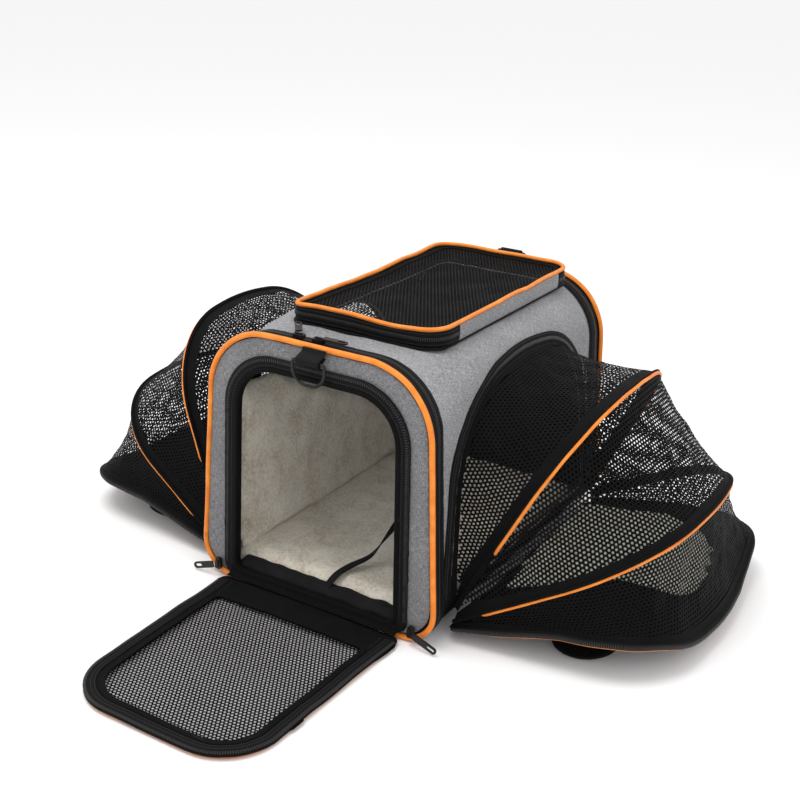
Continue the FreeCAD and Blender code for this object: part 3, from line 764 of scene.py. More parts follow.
def arch_loop(inset, foot, side, step=6 * MM):
    """Side opening's outline moved inwards, as (p, y)."""
    loop = arch_outline(inset, foot, step)
    return np.stack([side * wall_to_p(loop[:, 1]), side * loop[:, 0]], axis=1)


def lid_loop(inset, step=6 * MM):
    x, y = LID_HALF[:2] - inset
    corner = LID_RADIUS - inset
    tight = 12 * MM - min(inset, 9 * MM)
    corners = [(-x - 1 * MM, -y - 5 * MM), (x, -y), (x, y), (-x, y)]
    return rounded(corners, [tight, corner, corner, corner], step) + LID_MID[:2]


def box_loop(half_x, half_y, radius, step):
    corners = [(-half_x, -half_y), (half_x, -half_y), (half_x, half_y), (-half_x, half_y)]
    return rounded(corners, [radius] * 4, step)


pucker = Waves(70 * MM, 1)
crease = Waves(22 * MM, 2)


def soft_shell(flat, lift=0.0):
    """Shell surface with the slackness of cloth."""
    point, normal = shell_point(flat, lift)
    slack = 1.3 * MM * pucker(point) + 0.35 * MM * crease(point)
    edge = np.clip((SHELL_HALF - np.abs(flat[:, 1])) / (40 * MM), 0, 1)
    return point + normal * (slack * (0.15 + 0.85 * edge))[:, None]


def make_shell():
    lowest = z_to_p(FLOOR_SPLIT)
    half_y = SHELL_HALF - 1 * MM
    outer = box_loop(lowest, half_y, 0, 8 * MM)
    holes = [lid_loop(10 * MM)] + [arch_loop(15 * MM, 6 * MM, side) for side in (-1, 1)]
    cloth = sheet_piece("body_canvas", outer, holes, 8 * MM, soft_shell, HEATHER, 1.4 * MM)
    attach(cloth, "carrier", "heather_fabric", "roof_cover", "left_side", "right_side")
    holes = [lid_loop(8 * MM)] + [arch_loop(13 * MM, 4 * MM, side) for side in (-1, 1)]
    inner = sheet_piece("body_lining", outer, holes, 12 * MM,
                        lambda flat: shell_point(flat, -4.4 * MM)[0], LINING)
    attach(inner, "carrier", "black_fabric")
    ys = np.linspace(-half_y, half_y, 60)
    ps = np.linspace(z_to_p(FLOOR_SPLIT + 2 * MM), z_to_p(0.0) + 8 * MM, 16)
    for name, side in (("left", -1), ("right", 1)):
        skirt = grid_piece(f"tray_{name}_side", ps * side, ys * side,
                           lambda f: shell_point(f, 0.6 * MM)[0], NYLON)
        attach(skirt, "carrier", "black_fabric")
    base = sheet_piece("tray_floor", box_loop(HALF_BASE - LOW_RUN, half_y, 0, 12 * MM), [], 12 * MM,
                       lambda f: np.column_stack([f, 0.3 * MM + 0.25 * MM * pucker.over(f)]), NYLON)
    thicken(base, 3.5 * MM, 1.0)
    attach(base, "carrier", "black_fabric", "bottom_tray")


def make_zip_bands():
    """Black zipped gussets behind the end pipings, and their teeth."""
    reach = z_to_p(6 * MM)
    for name, end in (("front", -1), ("back", 1)):
        first, last = sorted((end * abs(BAND_INNER), end * (SHELL_HALF - 0.4 * MM)))
        ps = np.linspace(-reach, reach, 220)
        vs = np.linspace(first, last, 9)

        def place(flat, first=first, last=last):
            edge = np.minimum(flat[:, 1] - first, last - flat[:, 1])
            swell = 1.8 * MM * smooth(edge / (4 * MM))
            return shell_point(flat, 1.0 * MM + swell + 0.3 * MM * crease.over(flat, 1))[0]

        band = grid_piece(f"{name}_gusset", ps, vs, place, TAPE)
        attach(band, "carrier", "zip_tape", f"{name}_zip_band")
        middle = np.column_stack([ps, np.full(len(ps), (first + last) / 2)])
        path, normal = shell_point(middle, 3.0 * MM)
        sew_zip(f"{name}_gusset", (path, repeated((0, 1, 0), len(ps)), normal), "carrier",
                dict(width=5.0 * MM), {"a": (-6.5, -0.3), "b": (6.5, -0.3)})


# ---- the two ends ----

def cross(y):
    return lambda flat: np.column_stack([flat[:, 0], np.full(len(flat), y), flat[:, 1]])


def body_loop(offset, low, radius, step=6 * MM):
    """End outline moved outwards by offset, from the height low upwards."""
    high = HEIGHT + offset
    return trapezoid(HALF_BASE + offset - SLOPE * low, HALF_BASE + offset - SLOPE * high, low, high,
                     BASE_RADIUS, radius + offset, step)


def doorway_loop(out, sill, step=5 * MM):
    return trapezoid(DOORWAY["half"] + out, DOORWAY["top_half"] + out, sill, DOORWAY["top"] + out,
                     10 * MM, DOORWAY["corner"] + out * 0.8, step)


def wobble(path, amount, seed):
    return path + np.stack([amount * Waves(60 * MM, seed + k)(path) for k in range(3)], axis=1)


def make_ends():
    for name, end in (("front", -1), ("back", 1)):
        face, up = end * END_FACE, (0, end, 0)

        def place(flat, end=end, face=face):
            puff = 0.55 * MM * pucker.over(flat) + 0.15 * MM * crease.over(flat)
            return np.column_stack([flat[:, 0], face + end * (puff - 1.0 * MM), flat[:, 1]])

        doorway = [doorway_loop(1 * MM, DOORWAY["sill"] - 1 * MM)] if end < 0 else []
        # The end panels take the darker heather copy, which paints shade onto them.
        panel = sheet_piece(f"{name}_panel_canvas", body_loop(-0.5 * MM, 8 * MM, END_RADIUS), doorway,
                            8 * MM, place, SHADED_END_HEATHER)
        thicken(panel, 4 * MM, -1.0 if end < 0 else 1.0)
        attach(panel, "carrier", "heather_fabric", f"{name}_end_panel")
        inside_face = lambda flat, end=end: place(flat, end, end * (SHELL_HALF - 0.6 * MM))
        lining = sheet_piece(f"{name}_panel_lining", body_loop(-6 * MM, 14 * MM, END_RADIUS), doorway,
                             12 * MM, inside_face, LINING)
        attach(lining, "carrier", "black_fabric")
        ring = body_loop(3.6 * MM, 3.7 * MM, END_RADIUS, 5 * MM)
        path, side, normal = ring_frame(ring, cross(end * PIPING_Y), up)
        cord = round_profile(PIPING_RADIUS - 0.3 * MM, 12)
        add_swept(f"{name}_piping_cord", (wobble(path, 0.45 * MM, 40 + end), side, normal), cord,
                  ORANGE, "carrier", "orange_piping", f"{name}_piping", closed=True)
        fin = mm((-5.2, -1), (-1, -3.2), (-0.6, -3.0), (-4.8, 0.2))
        add_swept(f"{name}_piping_fin", (path, side, normal), fin, NYLON, "carrier", "black_fabric",
                  closed=True)
        if end > 0:
            border = body_loop(-7 * MM, 16 * MM, END_RADIUS, 5 * MM)
            line = ring_frame(border, cross(face - 0.6 * MM), up)
            attach(stitches("back_panel_seam", line, HEATHER_THREAD), "carrier", "heather_fabric")
    make_doorway_tape()


def make_doorway_tape():
    """Zip tape, binding, teeth and seams round the doorway."""
    face, up = -END_FACE, (0, -1, 0)
    outer_loop = trapezoid(DOORWAY["half"] + TAPE_WIDTH, DOORWAY["top_half"] + TAPE_WIDTH, 8 * MM,
                           DOORWAY["top"] + TAPE_WIDTH, 14 * MM, 66 * MM, 5 * MM)

    def tape_place(flat):
        ripple = 0.35 * MM * crease(np.column_stack([flat, flat[:, 0]]) * 1.4)
        return np.column_stack([flat[:, 0], face - 0.9 * MM - ripple, flat[:, 1]])

    tape = sheet_piece("front_door_tape", outer_loop, [doorway_loop(0, DOORWAY["sill"])], 5 * MM,
                       tape_place, TAPE)
    thicken(tape, 1.8 * MM, 0.0)
    attach(tape, "carrier", "zip_tape", "front_end_tape")
    loop = doorway_loop(0, DOORWAY["sill"], 4 * MM)
    section = mm((-1.5, -6), (1.2, -6), (1.6, 0.6), (5, 1.2), (5, 2.0), (0, 2.2), (-1.8, 1.0))
    add_swept("front_door_binding", ring_frame(loop, cross(face), up), section, NYLON, "carrier",
              "black_fabric", closed=True)
    line = ring_frame(open_from(loop, loop[:, 1] > 20 * MM), cross(face), up, closed=False)
    sew_zip("front_door", line, "carrier", dict(offset=12.4 * MM, lift=1.4 * MM, width=3.6 * MM),
            {"inner": (6.5, 1.9), "outer": (15.2, 1.9)})


# ---- side openings ----

def make_opening_tapes():
    for name, side in (("left", -1), ("right", 1)):
        outer, inner = arch_loop(0, 2 * MM, side, 5 * MM), arch_loop(16 * MM, 6 * MM, side, 5 * MM)
        edge = abs(BAND_INNER) + 0.4 * MM
        outer[:, 1] = np.clip(outer[:, 1], -edge, edge)
        place = lambda flat: shell_point(flat, 1.9 * MM + 0.3 * MM * crease.over(flat, 1))[0]
        tape = sheet_piece(f"{name}_arch_tape", outer, [inner], 6 * MM, place, TAPE, 1.6 * MM)
        attach(tape, "carrier", "zip_tape", f"{name}_opening_tape")
        loop = arch_loop(8 * MM, 2 * MM, side, 4 * MM)
        loop = open_from(loop, np.abs(loop[:, 0]) < wall_to_p(8 * MM))
        path, normal = shell_point(loop, 2.3 * MM)
        across = unit(np.cross(tangents(path, False), normal))
        sew_zip(f"{name}_arch", (path, across, normal), "carrier", {}, {"a": (-6.3, -0.2), "b": (6.3, -0.2)})


# ---- fold-out tents ----

RAILS = {
    "wall": dict(angle=-math.degrees(TILT), stand=2.0 * MM, inset=14.5 * MM, rise=0.0),
    "hoop_1": dict(angle=26.0, stand=6.2 * MM, inset=14 * MM, rise=20 * MM),
    "hoop_2": dict(angle=HOOP_2_ANGLE, stand=13.2 * MM, inset=4 * MM, rise=3 * MM),
    "floor": dict(angle=PANEL_ANGLE, stand=RIM_REACH + 0.3 * MM, inset=4 * MM, rise=0.0),
}
NET_FOOT = 7 * MM
RAIL_COUNT = 400


PANEL_SHOULDERS = {1: ((-168, 110), (190, 62)), -1: ((-178, 62), (172, 110))}   # y and corner radius, mm


def panel_corners(side, inset, foot):
    """Corners and radii of the tent floor, squarer than the opening it closes."""
    corners = arch_corners(inset, foot)
    radii = [0, 0, CROWN_RADIUS, 0, 0]
    for at, (shoulder, radius) in zip((1, 3), PANEL_SHOULDERS[side]):
        corners[at] = (shoulder * MM - math.copysign(inset, shoulder), corners[at][1])
        radii[at] = radius * MM - inset
    return corners, radii


def panel_outline(side, inset, foot, step=6 * MM):
    corners, radii = panel_corners(side, inset, foot)
    radii[0] = radii[4] = 4 * MM
    return rounded(corners[::-1], radii[::-1], step)


def rail_path(rail, side):
    """Hoop line as (y, distance from hinge), from the front foot over the arch to the back foot."""
    corner = ARCH_RADIUS - rail["inset"]
    corners, radii = arch_corners(rail["inset"], NET_FOOT, rail["rise"]), [0, corner, CROWN_RADIUS, corner, 0]
    if rail is RAILS["floor"]:
        corners, radii = panel_corners(side, rail["inset"], NET_FOOT)
    path = rounded(corners, radii, 1 * MM, closed=False)
    run = run_along(path)
    return read_off(np.linspace(0, run[-1], RAIL_COUNT), run, path), run[-1]


def tent_hinge(side):
    return TENT_HINGE * np.array([side, 1, 1])


def panel_inward(side):
    """Direction from the open tent floor into the tent."""
    angle = math.radians(PANEL_ANGLE)
    return np.array([-side * math.cos(angle), 0, math.sin(angle)])


def fan_point(side, y, r, angle, stand):
    return np.stack([TENT_HINGE[0] * side + side * (r * np.sin(angle) + stand * np.cos(angle)), y,
                     TENT_HINGE[2] + r * np.cos(angle) - stand * np.sin(angle)], axis=1)


END_CURL, MIDDLE_SAG = 20 * MM, 7 * MM          # rise of the tent floor's ends, drop of its outer middle
CURL_FROM, CURL_OVER = 50 * MM, 140 * MM        # where the rise starts along the floor, and its run
CURL_REACH, SAG_REACH = 130 * MM, 250 * MM      # distance from the hinge at which each is complete


def panel_curl(y, r):
    """How far the soft tent floor bends from its plane: up at its two ends, down at its outer middle."""
    end = smooth((np.abs(y) - CURL_FROM) / CURL_OVER)
    sag = -MIDDLE_SAG * np.clip(r / SAG_REACH, 0, 1) ** 4
    return end * END_CURL * np.clip(r / CURL_REACH, 0, 1) + (1 - end) * sag


def panel_point(side, y, r, stand):
    flat = fan_point(side, y, r, math.radians(PANEL_ANGLE), stand)
    return flat + panel_inward(side) * panel_curl(y, r)[:, None]


def panel_share(side, points):
    """Share of the floor's own turn that each point makes."""
    angle = math.radians(PANEL_ANGLE)
    r = (points - tent_hinge(side)) @ np.array([side * math.sin(angle), 0, math.cos(angle)])
    swing = math.radians(PANEL_ANGLE - HOOP_2_ANGLE)
    return np.clip(1 - panel_curl(points[:, 1], r) / (np.maximum(r, 20 * MM) * swing), 0, 1)


def attach_to_floor(piece, name, side, finish, *nodes):
    """Work out a tent floor piece's share of the floor's turn and bake the piece in place."""
    share = panel_share(side, vertex_positions(piece))
    return fold_between(piece, share, f"{name}_hoop_2", f"{name}_tent_floor", tent_hinge(side), finish,
                        *nodes)


class Gusset:
    """Surface of netting between two rails, measured along the first (u) and across (v)."""

    def __init__(self, side, first, second, slack, seed):
        self.on_floor = second == "floor"
        self.side, self.a, self.b = side, RAILS[first], RAILS[second]
        (self.path_a, length_a), (self.path_b, length_b) = rail_path(self.a, side), rail_path(self.b, side)
        self.length = (length_a + length_b) / 2
        self.low, self.high = math.radians(self.a["angle"]), math.radians(self.b["angle"])
        self.slack = slack
        self.folds, self.fine = Waves(45 * MM, seed), Waves(16 * MM, seed + 1)

    def rails_at(self, u):
        at = np.clip(u / self.length, 0, 1) * (RAIL_COUNT - 1)
        return tuple(read_off(at, np.arange(RAIL_COUNT), path) for path in (self.path_a, self.path_b))

    def width(self, u):
        a, b = self.rails_at(u)
        return (a[:, 1] + b[:, 1]) / 2 * (self.high - self.low)

    def share(self, flat):
        """How far across from the first rail to the second, 0 to 1; v is measured from the middle."""
        return np.clip(flat[:, 1] / np.maximum(self.width(flat[:, 0]), 1e-4) + 0.5, 0, 1)

    def place_share(self, u, t, lift=0.0):
        a, b = self.rails_at(u)
        y, r = ((a * (1 - t[:, None])) + b * t[:, None]).T
        hollow = 4 * t * (1 - t)
        swing = self.high - self.low
        pull = (1 - math.cos(swing / 2)) + self.slack
        angle = self.low + swing * t
        stand = self.a["stand"] * (1 - t) + self.b["stand"] * t
        inward = 1 - hollow * pull * np.clip(r / (120 * MM), 0, 1)
        spot = fan_point(self.side, y * (1 - 0.25 * pull * hollow), r * inward, angle, stand)
        outward = unit(fan_point(self.side, y * 1.001, r * 1.02 + 1e-4, angle, stand) - spot)
        ripple = 2.0 * MM * self.folds(spot) + 0.7 * MM * self.fine(spot)
        if self.on_floor:
            spot = spot + np.array([0, 0, 1.0]) * (t ** 2 * panel_curl(y, r))[:, None]
        return spot + outward * (ripple * np.clip(hollow, 0, 1) * np.clip(self.width(u) / (60 * MM), 0.15, 1)
                                 + lift)[:, None]

    def turn_share(self, share, points):
        """Share of the second body's turn: the lower edge follows the bent floor."""
        return share * panel_share(self.side, points) if self.on_floor else share

    def place(self, flat):
        return self.place_share(flat[:, 0], self.share(flat))


def fold_between(piece, weights, body_a, body_b, axis_point, finish, *nodes):
    """Bake the cloth's placement into its vertices and hide the frame nodes it replaces; the weights and the
    two bodies are not used.
    """
    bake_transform(piece)
    np.asarray(weights, np.float32)
    if nodes:
        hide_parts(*nodes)
    return piece


def make_gussets(name, side):
    spans = [("inner", "wall", "hoop_1", "carrier", f"{name}_hoop_1", 0.03, 5 * MM, 13 * MM),
             ("middle", "hoop_1", "hoop_2", f"{name}_hoop_1", f"{name}_hoop_2", 0.035, 2.5 * MM, 10 * MM),
             ("outer", "hoop_2", "floor", f"{name}_hoop_2", f"{name}_tent_floor", 0.03, 2.5 * MM, 9 * MM)]
    hinge = tent_hinge(side)
    for number, (tag, first, second, body_a, body_b, slack, low_band, high_band) in enumerate(spans):
        gusset = Gusset(side, first, second, slack, 60 + number * 3 + (side > 0) * 20)
        widest = gusset.width(np.linspace(0, gusset.length, 60)).max()

        def wanted(cells, gusset=gusset, low_band=low_band, high_band=high_band):
            u, v = cells.T
            half = gusset.width(u) / 2
            between = (v > 0.6 * low_band - half) & (v < half - 0.6 * high_band)
            return (u > 0) & (u < gusset.length) & between

        corners = np.array([0, -widest / 2]), np.array([gusset.length, widest / 2])
        net, flat = netting(f"{name}_{tag}_net", (*corners, wanted), gusset.place, NET, NET_PITCH, NET_HOLE)
        share = gusset.turn_share(gusset.share(flat), vertex_positions(net))
        fold_between(net, share, body_a, body_b, hinge, "black_mesh", f"{name}_net_{tag}")
        us, vs = np.linspace(0, gusset.length, 150), np.linspace(0, 1, 6)
        u, v = (part.ravel() for part in np.meshgrid(us, vs, indexing="ij"))
        for edge, width in (("low", low_band), ("high", high_band)):
            share = np.clip(v * width / np.maximum(gusset.width(u), 1e-4), 0, 0.5)
            share = share if edge == "low" else 1 - share
            verts = gusset.place_share(u, share, 0.5 * MM)
            band = add_mesh(f"{name}_{tag}_{edge}_binding", verts, [grid_quads(len(us), len(vs))], NYLON,
                            pattern=np.column_stack([u, v * width]))
            fold_between(band, gusset.turn_share(share, verts), body_a, body_b, hinge, "black_fabric")


HOOP_CORDS = {1: (2.1 * MM, 2.1 * MM, 74 * MM, 2.4 * MM), 2: (1.7 * MM, 2.0 * MM, 28 * MM, 2.2 * MM)}


def make_hoops(name, side):
    step, tail, fade = 4 * MM, 24 * MM, 16 * MM     # spacing; the cord's bare end and how it tucks in there
    for number in (1, 2):
        rail = RAILS[f"hoop_{number}"]
        path, _ = rail_path(rail, side)
        angle = math.radians(rail["angle"])
        place = lambda f: fan_point(side, f[:, 0], f[:, 1], angle, rail["stand"])
        normal = (side * math.cos(angle), 0, -math.sin(angle))
        line, inward, up = ring_frame(resample(path, step, False), place, normal, closed=False)
        low, reach, shown, lip = HOOP_CORDS[number]   # cord's depth and radius, where it starts, lip above it
        hoop = f"{name}_hoop_{number}"
        sleeve = [(2.0 * MM, -lip), (2.2 * MM, low + 1 * MM), (0.4 * MM, low + reach - 0.5 * MM),
                  (1.2 * MM, low), (1.2 * MM, -lip)]
        add_swept(f"{hoop}_sleeve", (line, inward, up), sleeve, NYLON, hoop, "black_fabric")
        fold = [(1.0 * MM, -lip), (-1.6 * MM, -lip), (-3.2 * MM, -0.6 * lip), (-3.7 * MM, -0.25 * lip),
                (-3.2 * MM, 0.05 * lip), (0.6 * MM, 0.1 * lip)]
        add_swept(f"{hoop}_lip", (line, inward, up), fold, NYLON, hoop, "black_fabric")
        run = np.arange(len(line)) * 4 * MM
        keep = (run > shown) & (run < run[-1] - tail)
        tuck = 4.6 * MM * (1 - smooth(np.minimum(run - shown, run[-1] - tail - run) / fade))
        line = wobble((line + inward * (tuck - 0.6 * MM)[:, None] + up * low)[keep], 0.4 * MM, 50 + number)
        add_swept(f"{hoop}_cord", (line, inward[keep], up[keep]), round_profile(reach), ORANGE, hoop,
                  "orange_piping", f"{name}_rib_{number}")


def make_tent_floor(name, side):
    on_panel = lambda stand: lambda f: panel_point(side, f[:, 0], f[:, 1], stand)
    middle, thick = (PANEL_INNER + PANEL_OUTER) / 2, PANEL_OUTER - PANEL_INNER
    quilt = Waves(60 * MM, 33)
    pad = pillow(f"{name}_floor_pad", panel_outline(side, 7 * MM, 3 * MM), 9 * MM,
                 lambda f, h: panel_point(side, f[:, 0], f[:, 1], middle - h), thick, 10 * MM, NYLON,
                 lambda f: 0.7 * MM * quilt.over(f, 1))
    attach_to_floor(pad, name, side, "black_fabric", f"{name}_floor_panel")
    loop = panel_outline(side, 3 * MM, 3 * MM, 5 * MM)
    edge = open_from(loop, loop[:, 1] > 6 * MM)
    path, outward, up = ring_frame(edge, on_panel(PANEL_OUTER), panel_inward(side), closed=False)
    high = (PANEL_OUTER - RIM_REACH) * (0.45 + 0.55 * smooth(edge[:, 1] / (60 * MM)))
    path = path + up * (PANEL_OUTER - RIM_REACH - high)[:, None]
    section = [(-4 * MM, 0.08), (0, 0), (2.4 * MM, 0.22), (3.0 * MM, 0.5), (1.8 * MM, 0.85), (-1 * MM, 1.0),
               (-4.5 * MM, 0.92), (-3.0 * MM, 0.5)]
    path = wobble(path, 0.5 * MM, 70)
    ring = np.stack([path + outward * out + up * (share * high)[:, None] for out, share in section], axis=1)
    rim = tidy_normals(tube_mesh(f"{name}_panel_rim_tape", ring, TAPE))
    attach_to_floor(rim, name, side, "zip_tape", f"{name}_panel_rim")
    half_way = path + up * (0.5 * high)[:, None]
    row = teeth(f"{name}_panel_teeth", (half_way, up, outward), lift=3.2 * MM, width=4.0 * MM)
    attach_to_floor(row, name, side, "zip_tape")
    for tag, part in (("a", 0.2), ("b", 0.8)):
        line = path + up * (part * high)[:, None], up, outward
        seam = stitches(f"{name}_panel_seam_{tag}", line, THREAD, lift=2.6 * MM)
        attach_to_floor(seam, name, side, "zip_tape")
    under_rim = wobble(path - outward * 2.6 * MM - up * 0.3 * MM, 0.3 * MM, 80)
    cord = sweep(f"{name}_panel_cord", under_rim, outward, up, round_profile(1.5 * MM), ORANGE)
    attach_to_floor(tidy_normals(cord), name, side, "orange_piping")
    make_handle(name, side)


def make_handle(name, side):
    """Webbing loop stitched under the tent floor; its bend hangs to the ground."""
    angle, hang = math.radians(PANEL_ANGLE), math.radians(3.7)
    centre, width, span = 134 * MM, 25 * MM, 49 * MM
    root, bend = 10 * MM, -152 * MM + width / 2
    corners = [(root, centre - span / 2), (bend, centre - span / 2), (bend, centre + span / 2),
               (root, centre + span / 2)]
    line = rounded(corners, [0, span / 2 - 0.5 * MM, span / 2 - 0.5 * MM, 0], 5 * MM, closed=False)

    def place(f):
        stand = PANEL_OUTER + 2.6 * MM + (root - f[:, 0]) * math.tan(hang)
        return fan_point(side, f[:, 0], f[:, 1], angle, stand)

    strap = strip_profile(-width / 2, width / 2, 2.4 * MM, -0.6 * MM)
    add_swept(f"{name}_handle_strap", ring_frame(line, place, (0, 0, 1), closed=False), strap, WEBBING,
              f"{name}_tent_floor", "webbing", f"{name}_handle")


# ---- the door on the floor ----

door_wave = Waves(110 * MM, 90)
door_fine = Waves(35 * MM, 91)


def door_loop(inset, near, step=5 * MM):
    slope = (DOOR_HALF - DOOR_TOP_HALF) / (DOOR_FAR - DOOR_NEAR)
    return trapezoid(DOOR_HALF - inset - slope * (near - DOOR_NEAR), DOOR_TOP_HALF - inset,
                     near, DOOR_FAR - inset, 8 * MM, DOOR_CORNER - inset, step)


def door_height(flat):
    return 1.3 * MM * door_wave.over(flat) + 0.4 * MM * door_fine.over(flat)


def door_place(lift):
    base = DOOR_TOP_Z - 2.4 * MM
    return lambda f: np.column_stack([f[:, 0], DOOR_HINGE[1] - f[:, 1], base + door_height(f) + lift])


def make_hinge_flap():
    """Cloth that joins the door to the sill and covers the piping between them."""
    door_edge = DOOR_HINGE[1] - DOOR_NEAR - 3 * MM
    line = np.array([(-END_FACE - 2.2 * MM, 17 * MM), (-END_FACE - 3.4 * MM, 12 * MM),
                     (-END_FACE - 5.5 * MM, 9.6 * MM), (door_edge, DOOR_TOP_Z + 0.4 * MM)])
    line = resample(line, 1.5 * MM, False)

    def place(f):
        share = f[:, 1] * (len(line) - 1)
        y, z = read_off(share, np.arange(len(line)), line).T
        ripple = 0.4 * MM * crease(np.column_stack([f[:, 0], y, z]) * 1.3)
        return np.column_stack([f[:, 0], y - ripple, z + ripple])

    across = np.linspace(-114 * MM, 114 * MM, 70)
    flap = grid_piece("door_hinge_cloth", across, np.linspace(0, 1, 9), place, NYLON)
    thicken(flap, 1.0 * MM, 0.0)
    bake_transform(flap)


def make_door():
    lip, edge = 38 * MM, 20 * MM
    outline = door_loop(0, DOOR_NEAR)
    window = door_loop(edge, DOOR_NEAR + lip)
    cloth = sheet_piece("door_frame_cloth", outline, [window], 7 * MM, door_place(0), NYLON)
    thicken(cloth, 3.2 * MM, 1.0)
    attach(cloth, "door", "black_fabric", "door_binding")
    hole = door_loop(edge - 4 * MM, DOOR_NEAR + lip - 4 * MM)
    net, _ = netting("door_net", within(hole), door_place(-1.4 * MM), NET, 4.5 * MM, 1.5 * MM)
    attach(net, "door", "black_mesh", "door_mesh")
    loop = door_loop(2.5 * MM, DOOR_NEAR + 1 * MM, 4 * MM)
    open_part = open_from(loop, loop[:, 1] > DOOR_NEAR + 8 * MM)
    line = ring_frame(open_part, door_place(0), (0, 0, 1), closed=False)
    tape = strip_profile(-10 * MM, 2.5 * MM, 1.0 * MM, 0.1 * MM)
    add_swept("door_zip_tape", line, tape, TAPE, "door", "zip_tape")
    sew_zip("door", line, "door", dict(offset=0.8 * MM, lift=1.0 * MM, width=3.6 * MM),
            {"a": (-5.0, 1.2), "b": (-9.0, 1.2), "c": (-15.5, 0.2)})
    binding = door_loop(edge, DOOR_NEAR + lip, 4 * MM)
    hem = strip_profile(-1.5 * MM, 6 * MM, 1.4 * MM, -0.6 * MM)
    add_swept("door_net_hem", ring_frame(binding, door_place(0), (0, 0, 1)), hem, NYLON, "door",
              "black_fabric", closed=True)
    rim = door_loop(3.4 * MM, DOOR_NEAR - 1 * MM, 4 * MM)
    rim_open = open_from(rim, rim[:, 1] > DOOR_NEAR + 6 * MM)

    def low(f):
        under_ring = 1.3 * MM * smooth((36 * MM - np.abs(f[:, 0])) / (14 * MM))
        height = 2.0 * MM + 0.25 * door_height(f) + under_ring
        return np.column_stack([f[:, 0], DOOR_HINGE[1] - f[:, 1], height])

    line = ring_frame(rim_open, low, (0, 0, 1), closed=False)
    add_swept("door_piping_cord", line, round_profile(1.5 * MM), ORANGE, "door", "orange_piping",
              "door_piping")


# ---- the lid ----

def lid_lift(flat):
    """Slack of the lid's top edge: dips at its front left corner, its front and its left edge."""
    x, y = ((flat - LID_MID[:2]) / LID_HALF[:2]).T
    corner = -1.5 * MM * np.exp(-((x + 1) ** 2 + (y + 1) ** 2) / 0.16)
    dip = -3.4 * MM * np.exp(-((x - 0.4) ** 2 / 0.2 + (y + 1) ** 2 / 0.15))
    left = -3.6 * MM * np.exp(-((x + 1) ** 2 / 0.15 + (y + 0.2) ** 2 / 0.25))
    return corner + dip + left + 0.8 * MM * pucker.over(flat)


def make_lid():
    rise = LID_TOP - LID_FLOOR
    loop = lid_loop(0, 4 * MM)
    hinge_x = LID_MID[0] + LID_HALF[0] - 1 * MM
    hinge_half = LID_HALF[1] - LID_RADIUS - 10 * MM
    on_hinge = (loop[:, 0] > hinge_x) & (np.abs(loop[:, 1] - LID_MID[1]) < hinge_half)
    first = int(np.argmax(on_hinge & ~np.roll(on_hinge, 1)))
    loop, on_hinge = np.roll(loop, -first, axis=0), np.roll(on_hinge, -first)
    loop, on_hinge = np.vstack([loop, loop[:1]]), np.append(on_hinge, True)
    strips = [("lid_hinge_cloth", loop[on_hinge][:-1], HEATHER, "heather_fabric", "lid_hinge_strip"),
              ("lid_zip_wall", np.vstack([loop[on_hinge][-2:-1], loop[~on_hinge], loop[:1]]), TAPE,
               "zip_tape", "lid_wall")]
    for name, line, material, finish, node in strips:
        smooth_line = resample(line, 4 * MM, False)
        low = lambda f: np.column_stack([f, np.full(len(f), LID_FLOOR)])
        path, outward, up = ring_frame(smooth_line, low, (0, 0, 1), closed=False)
        heights = np.array([0.0, 0.15, 0.4, 0.6, 0.85, 1.0])
        bulge = np.array([-0.3, 0.6, 0.9, 0.9, 0.6, -0.2]) * MM
        top = rise + lid_lift(smooth_line)
        raised = up[:, None] * (heights[None] * top[:, None])[..., None]
        outer = path[:, None] + outward[:, None] * bulge[None, :, None] + raised
        inner = path[:, None] - outward[:, None] * (2.2 * MM) + raised[:, ::-1]
        piece = tidy_normals(tube_mesh(name, np.concatenate([outer, inner], axis=1), material))
        attach(piece, "lid", finish, node)
        if name == "lid_zip_wall":
            centre = path + up * (0.5 * top)[:, None]
            sew_zip("lid", (centre, up, outward), "lid", dict(lift=1.3 * MM, width=4.4 * MM),
                    {"a": (-6, 1.0), "b": (6, 1.0)})
    top_z = LID_TOP - 1.5 * MM

    def net_place(flat):
        x, y = ((flat - LID_MID[:2]) / LID_HALF[:2]).T
        sag = -5.5 * MM * np.clip(1 - x ** 2, 0, 1) * np.clip(1 - y ** 2, 0, 1)
        return np.column_stack([flat, top_z + sag + lid_lift(flat)])

    hole = lid_loop(8 * MM)
    net, _ = netting("lid_net", within(hole), net_place, NET, 4.6 * MM, 1.6 * MM)
    attach(net, "lid", "black_mesh", "lid_mesh")
    border = sheet_piece("lid_border", lid_loop(1 * MM), [lid_loop(12 * MM)], 5 * MM,
                         lambda f: net_place(f) + np.array([0, 0, 0.8 * MM]), NYLON, 1.0 * MM)
    attach(border, "lid", "black_fabric")
    loop = lid_loop(1 * MM, 4 * MM)
    edge = lambda f: np.column_stack([f, LID_TOP + 1.9 * MM + lid_lift(f)])
    path, outward, up = ring_frame(loop, edge, (0, 0, 1))
    add_swept("lid_piping_cord", (wobble(path, 0.35 * MM, 95), outward, up), round_profile(2.5 * MM),
              ORANGE, "lid", "orange_piping", "lid_piping", closed=True)
    collar_z = hi("roof_collar")[2]
    reach = lid_loop(-3 * MM)
    reach[:, 0] = np.minimum(reach[:, 0], hi("roof_collar")[0])
    reach[:, 1] = np.minimum(reach[:, 1], hi("roof_collar")[1])
    collar = sheet_piece("roof_zip_collar", reach, [lid_loop(9 * MM)], 5 * MM,
                         lambda f: np.column_stack([f, np.full(len(f), collar_z)]), TAPE, 2.0 * MM)
    attach(collar, "carrier", "zip_tape", "roof_collar")


# ---- the lining ----

pile = Waves(9 * MM, 101, 16)
pile_fine = Waves(4.5 * MM, 102, 16)
CLOTH_FRAMES = 15


